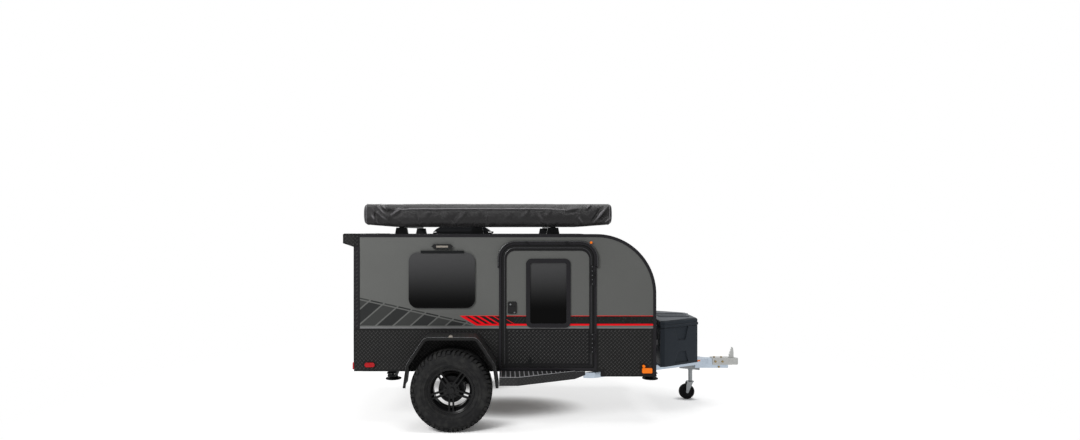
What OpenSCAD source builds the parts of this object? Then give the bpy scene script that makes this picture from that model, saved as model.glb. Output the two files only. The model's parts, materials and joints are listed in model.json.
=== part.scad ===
// Compact travel trailer on one axle, standing on its wheels and its tongue jack.
// Millimetres. +X points to the hitch, +Z up, Z 0 is the ground, X 0 the middle of the length.

/* [Cabin] */
// length of the cabin from rear wall to front wall
body_l = 2943; // [2700:5:3200]
// width of the cabin over the side walls
body_w = 1524; // [1400:2:1700]
// height of the side walls
body_h = 1334; // [1240:2:1450]
// height of the wall's lower edge over the ground
ride_h = 521; // [490:1:560]
// radius of the nose between roof and front wall
nose_r = 580; // [480:5:660]
// thickness of walls, roof and doors
wall_t = 38; // [34:1:44]
// height of the tread-plate band
belt_h = 417; // [380:1:440]
// length of the spoiler behind the rear wall
spoiler_l = 107; // [80:1:140]

/* [Tongue] */
// front wall to the coupler's tip
tongue_l = 1090; // [1060:5:1200]
// width of an A-frame rail
rail_w = 50; // [40:1:60]
// height of an A-frame rail
rail_h = 54; // [45:1:70]
// height of the nose tube
nose_tube_h = 102; // [80:1:120]

/* [Running gear] */
// rear edge of the door frame back to the axle
axle_back = 447; // [440:1:470]
// outer diameter of a tyre
tyre_d = 774; // [730:2:790]
// width of a tyre
tyre_w = 248; // [215:1:260]
// outer diameter of the rim's flange
rim_d = 441; // [415:1:460]
// diameter of the jack's caster wheel
caster_d = 170; // [140:2:180]

/* [Doors and windows] */
// width over the door frame
door_w = 951; // [880:1:970]
// height over the door frame
door_h = 1245; // [1180:1:1260]
// front wall to the door frame
door_fwd = 578; // [560:1:600]
// upper corner radius of the door frame
door_r = 157; // [120:1:190]
// length of the side window
win_w = 645; // [560:1:700]
// height of the side window
win_h = 541; // [480:1:560]
// corner radius of the side window
win_r = 88; // [60:1:110]

/* [Roof gear] */
// length of the awning bag
bag_l = 2370; // [2100:10:2500]
// height of the awning bag
bag_h = 224; // [190:1:240]
// length of the roof vent
vent_l = 620; // [520:5:650]
// height of the vent's lid
vent_h = 95; // [80:1:110]

/* [Tongue box] */
// depth of the box, front to back
box_d = 457; // [420:1:470]
// width of the box at its back
box_w = 914; // [820:2:940]
// width of the box at its front
box_front_w = 432; // [380:2:480]
// height of the box with its lid
box_h = 477; // [420:1:500]

/* [Hidden] */
$fn = 48;
x_rear = -(spoiler_l + body_l + tongue_l) / 2 + spoiler_l;
x_front = x_rear + body_l;
x_tip = x_front + tongue_l;
hw = body_w / 2;
hi = hw - wall_t;
z0 = ride_h;
z1 = ride_h + body_h;
belt_z = z0 + belt_h;
ncx = x_front - nose_r;
ncz = z1 - nose_r;
skirt_z = z0 - 52;
skirt_x = x_front - 534;
rail_top = z0 - 27;
side_rail_h = 52;
cross_z = rail_top + side_rail_h;
floor_z = z0 + 52;
floor_t = 25;
lip = 54;
cross_w = 50;
cross_at = [0, 0.2, 0.4, 0.6, 0.8, 1];
cross_run = body_l - lip - wall_t - cross_w;
trim_t = 4;
trim_w = 26;
corner_w = 57;
corner_t = 3;
spoiler_h = 122;

// hinges: radius of knuckle, pin and bore, and play between knuckles
knuckle_r = 8;
pin_r = 3.7;
bore_r = 4;
play = 0.6;

// running gear
tyre_r = tyre_d / 2;
tw = tyre_w / 2;
wheel_y = hw + 15 + tw;
rim_r = rim_d / 2;
bead_z = 91;
flange_z = 101;
drum_r = rim_r - 95;
spindle_r = 24;
lugs = 34;
lug_pitch = 360 / lugs;
lug_share = 0.58;
groove = 10;
spokes = 5;
spoke_w = 18;
spoke_apart = 19;
hub_r = 82;
f_k = tyre_r / 387;
arm_x = 150;
arm_z = rail_top - 32;
arm_y0 = hi - 24;
arm_y1 = hi + 11;
arm_r = 34;

// fender: half lengths and heights of its corners, with the radius of each bend
fender_y = wheel_y + tw + 17;
fender_top = tyre_r + 511;
fender_t = 5;
fender_flange = 26;
fender_foot = 445 * f_k;
fender_path = [[-fender_foot, tyre_r + 40], [-416 * f_k, tyre_r + 254], [-247 * f_k, fender_top],
               [247 * f_k, fender_top], [416 * f_k, tyre_r + 254], [fender_foot, tyre_r + 40]];
fender_rs = [0, 90, 80, 80, 90, 0];
fender_lens_r = 20;

// door: frame outline, gaps and hinge line
dx1 = x_front - door_fwd;
dx0 = dx1 - door_w;
axle_x = dx0 - axle_back;
dz0 = z0 + 13;
dz1 = dz0 + door_h;
jamb = 15;
frame_in = 24;
leaf_gap = 5;
leaf_in = frame_in + leaf_gap;
proud = 8;
hinge_x = dx1 - 26.5;
hinge_y = -(hw + proud + 8.5);
hinge_l = 195;
hinge_zs = [dz0 + 263, dz0 + 923];
dw_x0 = dx0 + 263;
dw_x1 = dx1 - 254;
dw_z0 = dz0 + 413;
dw_z1 = dz0 + 1085;
cap_w = 14;
cap_h = 249;
latch_x = dx0 + 129;
latch_z = dz0 + 608;

// side window
wx0 = x_rear + 0.696 * (dx0 - x_rear - win_w);
wx1 = wx0 + win_w;
wz1 = z1 - 175;
wz0 = wz1 - win_h;
pane_t = 16;
light_x = (wx0 + wx1) / 2 + 4;
light_z = z1 - 116;
light_l = 208;
light_h = 44;
lens_l = 116;
lens_h = 20;

// amber dot beside the door frame's upper front corner
dot_r = door_r + 28.5;
dot_a = 56;
dot_x = dx1 - door_r + dot_r * cos(dot_a);
dot_z = dz1 - door_r + dot_r * sin(dot_a);

// steps: straight and tapered run, punched holes
step_top = z0 + 4;
step_h = 78;
step_y = fender_y - 7;
step_t = 5;
sx0 = axle_x + fender_foot + 7;
sx1 = dx0 + 179;
sx2 = sx1 + 560;
step_run = sx2 - sx1;
step_slope = (step_y - hw - 10) / step_run;
hole = 30;
pitch = 44;

// rear hatch
h_y = hi - 60;
h_z0 = floor_z + floor_t;
h_z1 = z1 - 155;
h_gap = 6;
hh_x = x_rear - 9.5;
hh_z = h_z1 + 12;
hatch_hinges = [-450, 0, 450];
hatch_hinge_l = 120;

// roof gear
rack_rear = x_rear + 455;
rack_front = ncx - 418;
rack_x = [rack_rear, (rack_rear + rack_front) / 2, rack_front];
foot_h = 67;
foot_half = [64, 57, 51];
foot_y = hi - 30;
foot_w = 56;
bar_h = 26;
bar_half = 21;
bracket_half = 28;
bracket_h = 120;
bracket_t = 5.5;
bar_z = z1 + foot_h;
bag_z0 = bar_z;
bag_x0 = rack_x[1] - 1075 * bag_l / 2370;
bag_y0 = -(hw + 153);
bag_y1 = -(hw - 77);
vent_x0 = x_rear + 706;
vent_x1 = vent_x0 + vent_l;
vent_w = 450;
vent_t = 9;
vent_z = z1 + 25;
vhx = vent_x1 + 9;
vhz = z1 + 23;
vent_hinge_ys = [-140, 140];
vent_hinge_l = 90;

// tongue: rails, nose tube, coupler
tube_w = 76;
k = (hi - 24 - tube_w / 2) / 1331;
rail_a = atan(k);
apex_x = x_front + 745;
rail_ends = hi - 24;
tube_x0 = apex_x - 135;
nose_l = x_tip - apex_x;
tube_x1 = apex_x + 0.652 * nose_l;
tube_t = 6;
tip_r = 38;
ball_x = x_tip - tip_r;
ball_r = 25.8;
cz1 = rail_top + 7;
cz0 = cz1 - 74;
lever_h = 112;
lever_teeth = 4;

// stabilisers: where they stand and how far their pads hang
stab_at = [x_rear + 355, x_front - 16];
pad_r = 78;
pad_drop = 84;

// tongue box
bx0 = x_front + 121;
bx1 = bx0 + box_d;
bz0 = rail_top;
bz1 = bz0 + box_h;
lid_z = bz1 - 76;
box_gap = 5.5;
box_wall = 18;
lid_wall = 10;
lid_lip = 6;
pocket = 12;
b_side = 46;
box_a = atan2((box_w - box_front_w) / 2, box_d - b_side);
box_run = norm([box_d - b_side, (box_w - box_front_w) / 2]);
bh_x = bx0 - 10;
bh_z = lid_z;
box_hinges = [-280, 280];
box_hinge_l = 180;

// jack: distance along the rail from the apex and out from its face
jack_n = 55;
jack_r = 25.5;
jack_t = (apex_x - bx1 - 13 - jack_r + jack_n * sin(rail_a)) / cos(rail_a);
jx = apex_x - jack_t * cos(rail_a) + jack_n * sin(rail_a);
jy = tube_w / 2 + jack_t * sin(rail_a) + jack_n * cos(rail_a);
caster_r = caster_d / 2;
caster_trail = 42;
fork_z = caster_d + 22;
fork_y = 31;
jack_top = bz1 - 170;
crank_y = 142;

// helpers: outlines drawn in X-Z or Y-Z and pulled along the third axis
module side_slab(y0, y1) {
  translate([0, y1, 0]) rotate([90, 0, 0]) linear_extrude(y1 - y0) children();
}

module end_slab(x0, x1) {
  translate([x0, 0, 0]) rotate([90, 0, 90]) linear_extrude(x1 - x0) children();
}

module mirrored() {
  mirror([0, 1, 0]) children();
}

module both() {
  children();
  mirrored() children();
}

module box(p, q) {
  translate(p) cube(q - p);
}

module rect(p, q) {
  translate(p) square(q - p);
}

module rrect(p, q, r) {
  rect([p[0] + r, p[1]], [q[0] - r, q[1]]);
  rect([p[0], p[1] + r], [q[0], q[1] - r]);
  for (x = [p[0] + r, q[0] - r], z = [p[1] + r, q[1] - r]) translate([x, z]) circle(r);
}

module arch(p, q, r) {
  rect([p[0] + r, p[1]], [q[0] - r, q[1]]);
  rect(p, [q[0], q[1] - r]);
  for (x = [p[0] + r, q[0] - r]) translate([x, q[1] - r]) circle(r);
}

module rod_y(x, z, y0, y1, r) {
  translate([x, y1, z]) rotate([90, 0, 0]) cylinder(h = y1 - y0, r = r);
}

function unit(v) = v / norm(v);
function turn(a, b) = (b - a + 540) % 360 - 180;
function arc_at(o, r, a0, d, n) = [for (i = [0:n]) o + r * [cos(a0 + d * i / n), sin(a0 + d * i / n)]];
function fillet(p, c, q, r, n = 6) =
  let (a = unit(p - c), b = unit(q - c), h = acos(a * b) / 2, s = c + a * r / tan(h),
       e = c + b * r / tan(h), o = c + unit(a + b) * r / sin(h),
       a0 = atan2(s[1] - o[1], s[0] - o[0]), a1 = atan2(e[1] - o[1], e[0] - o[0]))
  arc_at(o, r, a0, turn(a0, a1), n);
function left_of(v) = [-v[1], v[0]];
function miter(p, c, q, d) =
  let (m = unit(c - p), n = unit(q - c), w = unit(left_of(m) + left_of(n)))
  c + w * d / (w * left_of(m));

// a half section and its mirror image, with the second column's sign turned
function there_and_back(h) = concat(h, [for (i = [len(h) - 1:-1:0])
  [for (j = [0:len(h[i]) - 1]) j == 1 ? -h[i][j] : h[i][j]]]);

// cabin outline in X-Z, grown by d, from zb up, with the nose's arc
module side_profile(d, zb) {
  rect([x_rear, zb], [ncx, z1 + d]);
  rect([x_rear, zb], [x_front + d, ncz]);
  intersection() {
    translate([ncx, ncz]) circle(nose_r + d, $fn = 96);
    translate([ncx, ncz]) square(nose_r + d + 1);
  }
}

module door_outline(in, low) {
  arch([dx0 + in, low], [dx1 - in, dz1 - in], door_r - in);
}

// chassis
module side_rails() color("#5d6064") both()
  box([x_rear + lip, -hi + 74, rail_top], [x_front - wall_t - 2, -hi + 124, cross_z]);

module crossmembers() color("#5d6064") for (t = cross_at)
  translate([x_rear + lip + t * cross_run, -hi, cross_z]) cube([cross_w, 2 * hi, floor_z - cross_z]);

module rail_plan() {
  dy = rail_w * sqrt(1 + k * k);
  hy = tube_w / 2;
  polygon([[apex_x, hy], [apex_x - dy / k, hy], [apex_x - (rail_ends + dy - hy) / k, rail_ends],
           [apex_x - (rail_ends - hy) / k, rail_ends]]);
}

module tongue_rails() color("#c9ced3") both()
  translate([0, 0, rail_top - rail_h]) linear_extrude(rail_h) rail_plan();

module nose_tube() color("#c9ced3") {
  difference() {
    box([tube_x0, -tube_w / 2, rail_top - nose_tube_h], [tube_x1, tube_w / 2, rail_top]);
    box([tube_x1 - 60, -tube_w / 2 + tube_t, rail_top - nose_tube_h + tube_t],
        [tube_x1 + 1, tube_w / 2 - tube_t, rail_top - tube_t]);
  }
}

module coupler() color("#a9a8a0") {
  cx0 = apex_x + 0.15 * nose_l;
  for (s = [-1, 1]) box([cx0, s * 41 - 3, cz0], [tube_x1 + 2, s * 41 + 3, cz1]);
  box([cx0, -44, rail_top], [tube_x1 + 2, 44, cz1]);
  difference() {
    union() {
      box([tube_x1 + 1, -44, cz0], [tube_x1 + 40, 44, cz1]);
      box([tube_x1 + 30, -34, cz0], [ball_x, 34, cz1]);
      translate([ball_x, 0, cz0]) cylinder(h = 66, r = tip_r);
    }
    translate([ball_x, 0, cz0 - 1]) cylinder(h = 41, r = ball_r);
  }
}

// latch lever with a toothed rear edge, leaning to its tip
function lever_tooth(i) = [[-74 - 9 * i, lever_h - 4 - 26 * i], [-68 - 9 * i, lever_h - 16 - 26 * i]];
module coupler_lever() color("#8e9094") translate([x_tip, 0, cz1]) side_slab(-11, 11)
  polygon(concat([[-112, 0], [-50, 0], [-51, 0.55 * lever_h], [-57, lever_h - 6], [-66, lever_h]],
    [for (i = [0:lever_teeth - 1]) each lever_tooth(i)]));

module axle() color("#3a3c3e") {
  box([axle_x + arm_x - 30, -arm_y0 - 1, arm_z - 30], [axle_x + arm_x + 30, arm_y0 + 1, arm_z + 30]);
  both() {
    box([axle_x + arm_x - 60, -hi + 60, arm_z], [axle_x + arm_x + 60, -hi + 140, rail_top]);
    rise = arm_z - tyre_r;
    reach = norm([arm_x, rise]);
    rod_y(axle_x + arm_x, arm_z, -arm_y1, -arm_y0, arm_r);
    rod_y(axle_x, tyre_r, -arm_y1, -arm_y0, arm_r);
    translate([axle_x, -arm_y1, tyre_r]) rotate([0, -atan2(rise, arm_x), 0])
      translate([0, 0, -30]) cube([reach, arm_y1 - arm_y0, 60]);
    rod_y(axle_x, tyre_r, -(wheel_y - 10), -arm_y1 + 1, spindle_r);
  }
}

// stabilisers: screw jacks stowed flat under the side rails
module stabiliser() {
  y0 = -hi + 9;
  y1 = -hi + 259;
  yc = (y0 + y1) / 2;
  zt = rail_top;
  box([-45, y0, zt - 8], [45, y1, zt]);
  for (s = [-1, 1]) translate([s * 34 - 4, 0, 0]) rotate([90, 0, 90]) linear_extrude(8)
    polygon([[y0 + 8, zt - 22], [yc - 60, zt - 7], [yc + 60, zt - 7], [y1 - 8, zt - 22],
             [y1 - 8, zt - 38], [yc + 40, zt - 53], [yc - 40, zt - 53], [y0 + 8, zt - 38]]);
  translate([0, yc, zt - pad_drop]) {
    cylinder(h = 6, r = pad_r);
    translate([0, 0, 5]) cylinder(h = 21, r1 = 0.72 * pad_r, r2 = 42);
    translate([0, 0, 25]) cylinder(h = pad_drop - 25 - 49, r = 42);
  }
  rod_y(0, zt - 30, y0 - 4, y1 + 18, 9);
  for (y = [y0 + 12, y1 - 28]) box([-31, y, zt - 42], [31, y + 16, zt - 18]);
}

module stabilisers() color("#2a2b2d") both() for (x = stab_at) translate([x, 0, 0]) stabiliser();

// cabin panels
module floor_panel() color("#4a463f")
  box([x_rear + lip, -hi, floor_z], [x_front - wall_t, hi, floor_z + floor_t]);

module wall_upper() side_slab(-hw, -hi) difference() {
  side_profile(0, belt_z);
  rrect([wx0 + 25, wz0 + 25], [wx1 - 25, wz1 - 25], win_r - 25);
  door_outline(jamb, belt_z - 10);
}

module wall_upper_right() color("#696a69") wall_upper();
module wall_upper_left() color("#696a69") mirrored() wall_upper();

module wall_lower() color("#262626") both() {
  box([x_rear, -hw, z0], [dx0 + jamb, -hi, belt_z]);
  side_slab(-hw, -hi) polygon([[dx1 - jamb, z0], [skirt_x, z0], [skirt_x, skirt_z],
    [x_front - 14, skirt_z], [x_front, skirt_z + 14], [x_front, belt_z], [dx1 - jamb, belt_z]]);
}

module roof_panel() color("#55575a")
  box([x_rear, -hi, z1 - wall_t], [ncx, hi, z1]);

module nose_panel() color("#5c5d5d") side_slab(-hi, hi) {
  rect([x_front - wall_t, z0], [x_front, ncz]);
  intersection() {
    translate([ncx, ncz]) difference() {
      circle(nose_r, $fn = 96);
      circle(nose_r - wall_t, $fn = 96);
    }
    translate([ncx, ncz]) square(nose_r + 1);
  }
}

module hatch_outline(d) rrect([-h_y + d, h_z0 + d], [h_y - d, h_z1 - d], 40 - d / 2);

module hinge_pin_y(x, z, y, l) {
  for (s = [-1, 1]) rod_y(x, z, y + s * l / 3 - l / 6 + play, y + s * l / 3 + l / 6 - play, knuckle_r);
  rod_y(x, z, y - l / 2 + 1, y + l / 2 - 1, pin_r);
}

module hinge_eye_y(x, z, y, l) {
  difference() {
    children();
    rod_y(x, z, y - l / 6, y + l / 6, bore_r);
  }
}

module rear_frame() color("#2b2c2e") {
  end_slab(x_rear, x_rear + wall_t) difference() {
    rect([-hi, z0], [hi, z1 - wall_t]);
    hatch_outline(0);
  }
  end_slab(x_rear + wall_t - 1, x_rear + lip - 2) difference() {
    rect([-h_y - 26, h_z0 - 26], [h_y + 26, h_z1 + 26]);
    hatch_outline(0);
  }
  end_slab(x_rear + wall_t + h_gap, x_rear + lip - 2) difference() {
    rect([-h_y - 10, h_z0 - 10], [h_y + 10, h_z1 + 10]);
    hatch_outline(24);
  }
  for (y = hatch_hinges) {
    l = hatch_hinge_l;
    hinge_pin_y(hh_x, hh_z, y, l);
    box([x_rear - 4, y - l / 2, hh_z + 9.5], [x_rear + 1, y + l / 2, hh_z + 20]);
    for (s = [-1, 1]) box([hh_x, y + s * l / 3 - l / 6 + play, hh_z + 3],
      [x_rear + 1, y + s * l / 3 + l / 6 - play, hh_z + 12]);
  }
}

module spoiler() color("#242426") side_slab(-hw - corner_t, hw + corner_t) polygon([
  [x_rear, z1 - spoiler_h], [x_rear - spoiler_l, z1 - spoiler_h + 36], [x_rear - spoiler_l, z1 + 1],
  [x_rear - spoiler_l + 14, z1 + 9], [x_rear + corner_w, z1 + 7], [x_rear + corner_w, z1], [x_rear, z1]]);

module trim_ring(out, in) intersection() {
  difference() {
    side_profile(out, skirt_z + 14);
    side_profile(in, skirt_z);
  }
  rect([x_rear + corner_w + 0.5, skirt_z], [x_front + 10, z1 + 10]);
}

module edge_trims() color("#222024") both() {
  top = z1 - spoiler_h - 0.5;
  side_slab(-hw - trim_t, -hw) trim_ring(trim_t, -trim_w);
  side_slab(-hw - 1, -hw + 24) trim_ring(trim_t, 0.3);
  box([x_rear, -hw - corner_t, belt_z], [x_rear + corner_w, -hw, top]);
  box([x_rear - corner_t, -hw - corner_t, z0 + 95], [x_rear, -hw + 52, top]);
  box([x_rear - corner_t, -hw - corner_t, belt_z], [x_rear + 1, -hw, top]);
}

// door frame with its drip cap, the fixed hinge halves and their pins
module door_frame() {
  side_slab(-hw - proud, -hw) difference() {
    door_outline(0, dz0);
    door_outline(frame_in, dz0 + frame_in);
  }
  side_slab(-hw, -hi) difference() {
    door_outline(jamb + 0.3, z0);
    door_outline(frame_in, dz0 + frame_in);
  }
  side_slab(-hi - 0.5, -hi + 8) difference() {
    door_outline(jamb + 0.3, floor_z + floor_t + 0.5);
    door_outline(frame_in, floor_z);
  }
  side_slab(-hi, -hi + 8) difference() {
    door_outline(jamb + 0.3, floor_z + floor_t + 0.5);
    door_outline(frame_in + 25, floor_z);
  }
  side_slab(-hw - 16, -hw) intersection() {
    difference() {
      door_outline(-cap_w, dz0);
      door_outline(0, dz0 - 1);
    }
    rect([dx0 - cap_w - 6, dz1 - cap_h], [dx1 + cap_w + 6, dz1 + cap_w + 6]);
  }
  for (z = hinge_zs) translate([hinge_x, hinge_y, z]) {
    t = hinge_l / 6;
    for (s = [-1, 1]) {
      translate([0, 0, s * 2 * t - t + play]) cylinder(h = 2 * (t - play), r = knuckle_r);
      box([0, 4.5, s * 2 * t - t + play], [20, 8.5, s * 2 * t + t - play]);
    }
    translate([0, 0, -hinge_l / 2 + 1]) cylinder(h = hinge_l - 2, r = pin_r);
    box([10, 4.5, -hinge_l / 2 + play], [23, 8.6, hinge_l / 2 - play]);
  }
}

module door_frames() color("#1f2022") both() door_frame();

module side_windows() color("#15171a", 0.6) both() side_slab(-hw - pane_t, -hw)
  rrect([wx0, wz0], [wx1, wz1], win_r);

module window_visors() color("#1b1c1e") both() {
  box([wx0 + 118, -hw - 24, wz1 + 2], [wx1 - 110, -hw, wz1 + 18]);
  box([wx0 + 118, -hw - 24, wz1 - 7], [wx1 - 110, -hw - 18, wz1 + 18]);
}

module lens_face() rect([light_x - lens_l / 2, light_z - 12],
  [light_x + lens_l / 2, light_z - 12 + lens_h]);

module porch_lights() color("#17181a") both() difference() {
  side_slab(-hw - 26, -hw) translate([light_x, light_z]) polygon([
    [-light_l / 2, 0], [-light_l / 2 + 24, -light_h / 2], [light_l / 2 - 24, -light_h / 2],
    [light_l / 2, 0], [light_l / 2 - 24, light_h / 2], [-light_l / 2 + 24, light_h / 2]]);
  side_slab(-hw - 27, -hw - 18) lens_face();
}

// lenses of the porch lights, and half-round ones that stand on the fenders
module lenses_clear() color("#e6e8ea") both() {
  side_slab(-hw - 24, -hw - 18) lens_face();
  intersection() {
    rod_y(axle_x, fender_top, -fender_y + 2, -fender_y + 26, fender_lens_r);
    box([axle_x - fender_lens_r, -fender_y, fender_top],
        [axle_x + fender_lens_r, -fender_y + 30, fender_top + fender_lens_r]);
  }
}

module lamps_amber() color("#f08a12") both() {
  side_slab(-hw - 14, -hw) rrect([x_front - 135, z0 - 17], [x_front - 37, z0 + 32], 9);
  rod_y(x_front - 119, z0 + 50, -hw - 16, -hw, 14);
  rod_y(dot_x, dot_z, -hw - 14, -hw, 12);
}

module lamps_red() color("#c01218") both() {
  side_slab(-hw - 14, -hw) rrect([x_rear + 106, z0 + 42], [x_rear + 203, z0 + 85], 21);
  end_slab(x_rear - 16, x_rear) rrect([-hw + 8, z0 + 14], [-hw + 90, z0 + 84], 14);
}

// fenders: a bent strip with a turned edge
function inset(p, d) = [for (i = [0:5]) i == 0 ? p[0] + [d, -1] : i == 5 ? p[5] + [-d, -1] :
  miter(p[i - 1], p[i], p[i + 1], -d)];
function rounded(p, d) = concat([p[0]], [for (i = [1:4]) each fillet(p[i - 1], p[i], p[i + 1],
  fender_rs[i] - d)], [p[5]]);

module fender_outline(d) {
  polygon(rounded(d == 0 ? fender_path : inset(fender_path, d), d));
}

module fender() translate([axle_x, 0, 0]) {
  side_slab(-fender_y, -hw) difference() {
    fender_outline(0);
    fender_outline(fender_t);
  }
  side_slab(-fender_y, -fender_y + fender_t) difference() {
    fender_outline(0);
    fender_outline(fender_flange);
  }
}

module fenders() color("#262626") both() fender();

// steps: a folded tray with a punched top and two arms under the side rail
function step_edge(x) = x < sx1 ? step_y : step_y - (x - sx1) * step_slope;
module step_plan(d) polygon([[sx0 + d, -hw - 1 - d], [sx2 - d * 2, -hw - 1 - d],
  [sx2 - d * 2, -hw - 10], [sx1 - d / 2, -step_y + d], [sx0 + d, -step_y + d]]);

module step() {
  difference() {
    translate([0, 0, step_top - step_h]) linear_extrude(step_h) step_plan(0);
    translate([0, 0, step_top - step_h - 1]) linear_extrude(step_h - step_t + 1) step_plan(step_t);
    for (x = [sx0 + 24 : pitch : sx2 - hole], y = [hw + 18 : pitch : step_y - hole - 12])
      if (y + hole + 10 < step_edge(x + hole))
        box([x, -y - hole, step_top - 2 * step_t], [x + hole, -y, step_top + 1]);
  }
  for (x = [sx0 + 40, sx1 + 150]) box([x, -hw - 30, rail_top - 24], [x + 50, -hi + 120, rail_top]);
}

module steps() color("#1d1e20") both() step();

// roof gear
module rack_foot() side_slab(-foot_y - foot_w / 2, -foot_y + foot_w / 2)
  polygon([for (s = [1, -1], i = [0:2]) let (j = s > 0 ? i : 2 - i) [s * foot_half[j], z1 + foot_h * j / 2]]);

module rack_feet() color("#1d1e20") {
  for (x = rack_x) translate([x, 0, 0]) rack_foot();
  for (x = [rack_x[0], rack_x[2]]) translate([x, 0, 0]) mirrored() rack_foot();
}

module rack_bars() color("#1b1c1e") for (i = [0:2]) translate([rack_x[i], 0, 0]) {
  y = bag_y1 + 0.5;
  box([-bar_half, y, bar_z], [bar_half, i == 1 ? -foot_y + 60 : foot_y + 32, bar_z + bar_h]);
  box([-bracket_half, y, bar_z], [bracket_half, y + bracket_t, bag_z0 + bracket_h]);
}

module awning_bag() color("#2e2c2d") end_slab(bag_x0, bag_x0 + bag_l)
  rrect([bag_y0, bag_z0], [bag_y1, bag_z0 + bag_h], 66);

module vent_base() color("#1f2023") {
  difference() {
    box([vent_x0, -vent_w / 2, z1], [vent_x1, vent_w / 2, z1 + 20]);
    box([vent_x0 + 24, -vent_w / 2 + 24, z1 + 6], [vent_x1 - 24, vent_w / 2 - 24, z1 + 21]);
  }
  for (y = vent_hinge_ys) {
    l = vent_hinge_l;
    hinge_pin_y(vhx, vhz, y, l);
    for (s = [-1, 1]) box([vent_x1 - 2, y + s * l / 3 - l / 6 + play, z1 + 8],
      [vhx, y + s * l / 3 + l / 6 - play, z1 + 20]);
  }
}

// vent lid: a low dome along X, drawn smaller by d for its inside
function vent_rise(t) = pow(1 - pow(abs(2 * t - 1), 2.4), 0.8);
function vent_shape(d) = [for (i = [0:16]) let (t = i / 16)
  [vent_x0 + d + t * (vent_l - 2 * d), vent_z + 0.5 - (d > 0 ? 2 : 0) + (vent_h - d) * vent_rise(t)]];
module vent_lid() color("#1a1b1f", 0.85) {
  difference() {
    side_slab(-vent_w / 2, vent_w / 2) polygon(vent_shape(0));
    side_slab(-vent_w / 2 + vent_t, vent_w / 2 - vent_t) polygon(vent_shape(vent_t));
  }
  for (y = vent_hinge_ys) {
    l = vent_hinge_l / 6 - play;
    hinge_eye_y(vhx, vhz, y, vent_hinge_l) {
      union() {
        rod_y(vhx, vhz, y - l, y + l, knuckle_r);
        box([vent_x1 - 6, y - l, vhz + 2.6], [vhx, y + l, vhz + 7.9]);
      }
    }
  }
}

// tongue box
function box_plan(d, rear = bx0) = [[rear, -box_w / 2 - d], [bx0 + b_side, -box_w / 2 - d],
  [bx1 + d, -box_front_w / 2 - d], [bx1 + d, box_front_w / 2 + d], [bx0 + b_side, box_w / 2 + d],
  [rear, box_w / 2 + d]];

// two pockets in each slanted side, narrow ends facing: shares of the side's length, and heights
pockets = [[0.28, 0.72, lid_z, 0.40, 0.63, lid_z - 145], [0.40, 0.63, bz0 + 141, 0.29, 0.72, bz0 + 20]];
module box_pockets() translate([bx0 + b_side, -box_w / 2, 0]) rotate([0, 0, box_a])
  translate([0, pocket, 0]) rotate([90, 0, 0]) linear_extrude(2 * pocket) for (p = pockets)
    polygon([[p[0] * box_run, p[2]], [p[1] * box_run, p[2]],
             [p[4] * box_run, p[5]], [p[3] * box_run, p[5]]]);

module box_shell() color("#2f343b") {
  difference() {
    translate([0, 0, bz0]) linear_extrude(lid_z - box_gap - bz0) polygon(box_plan(0));
    translate([0, 0, bz0 + 8]) linear_extrude(box_h) polygon(box_plan(-box_wall, bx0 + lid_wall));
    both() box_pockets();
  }
  for (y = box_hinges) {
    l = box_hinge_l;
    hinge_pin_y(bh_x, bh_z, y, l);
    for (s = [-1, 1]) box([bh_x, y + s * l / 3 - l / 6 + play, bh_z - 26],
      [bx0 + 1, y + s * l / 3 + l / 6 - play, bh_z - 6]);
    for (s = [-1, 1]) box([bh_x - 4, y + s * l / 3 - l / 6 + play, bh_z - 26],
      [bh_x + 4, y + s * l / 3 + l / 6 - play, bh_z - 4]);
  }
}

// lid: a lip, the side, and a stepped crown, each by how far it stands out and how high it goes
lid_layers = [[lid_lip, 24], [0, bz1 - lid_z - 17], [-5, bz1 - lid_z - 11], [-14, bz1 - lid_z - 6]];
lid_ribs = [-120, 0, 120];
module box_lid() color("#2f343b") {
  difference() {
    for (layer = lid_layers)
      translate([0, 0, lid_z]) linear_extrude(layer[1]) polygon(box_plan(layer[0]));
    translate([0, 0, lid_z - 1]) linear_extrude(bz1 - lid_z - 20)
      polygon(box_plan(-lid_wall - 6, bx0 + lid_wall));
  }
  for (y = lid_ribs) translate([0, 0, bz1 - 8]) linear_extrude(8)
    rrect([bx0 + 60, y - 20], [bx1 - 60, y + 20], 19);
  for (y = box_hinges) {
    l = box_hinge_l / 6 - play;
    hinge_eye_y(bh_x, bh_z, y, box_hinge_l) {
      union() {
        rod_y(bh_x, bh_z, y - l, y + l, knuckle_r);
        box([bh_x, y - l, bh_z + 0.5], [bx0 + 1, y + l, bh_z + 7.8]);
      }
    }
  }
}

// tongue jack: clamp plate, outer and inner tube, crank
module on_rail() translate([apex_x, tube_w / 2, 0]) rotate([0, 0, 180 - rail_a]) children();

module jack_post() color("#85888c") {
  on_rail() {
    box([jack_t - 110, -8, rail_top - 150], [jack_t + 110, 0, rail_top]);
    box([jack_t - 32, -jack_n + 10, rail_top - 84], [jack_t + 32, -7, rail_top - 6]);
    for (s = [-1, 1]) translate([jack_t + s * 78, 0, rail_top - 125]) rotate([90, 0, 0])
      cylinder(h = 18, r = 11);
  }
  difference() {
    union() {
      translate([jx, jy, fork_z + 130]) cylinder(h = jack_top - fork_z - 130, r = jack_r);
      translate([jx, jy, fork_z + 11]) cylinder(h = 140, r = 22);
      translate([jx, jy, jack_top - 1]) cylinder(h = 44, r = 31);
      translate([jx, jy, jack_top + 42]) cylinder(h = 30, r = 13);
      rod_y(jx, jack_top + 58, jy, jy + crank_y, 7);
      translate([jx, jy + crank_y, jack_top + 46]) cylinder(h = 98, r = 14);
    }
    translate([jx, jy, fork_z + 10]) cylinder(h = 36, r = 10);
  }
}

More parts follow.
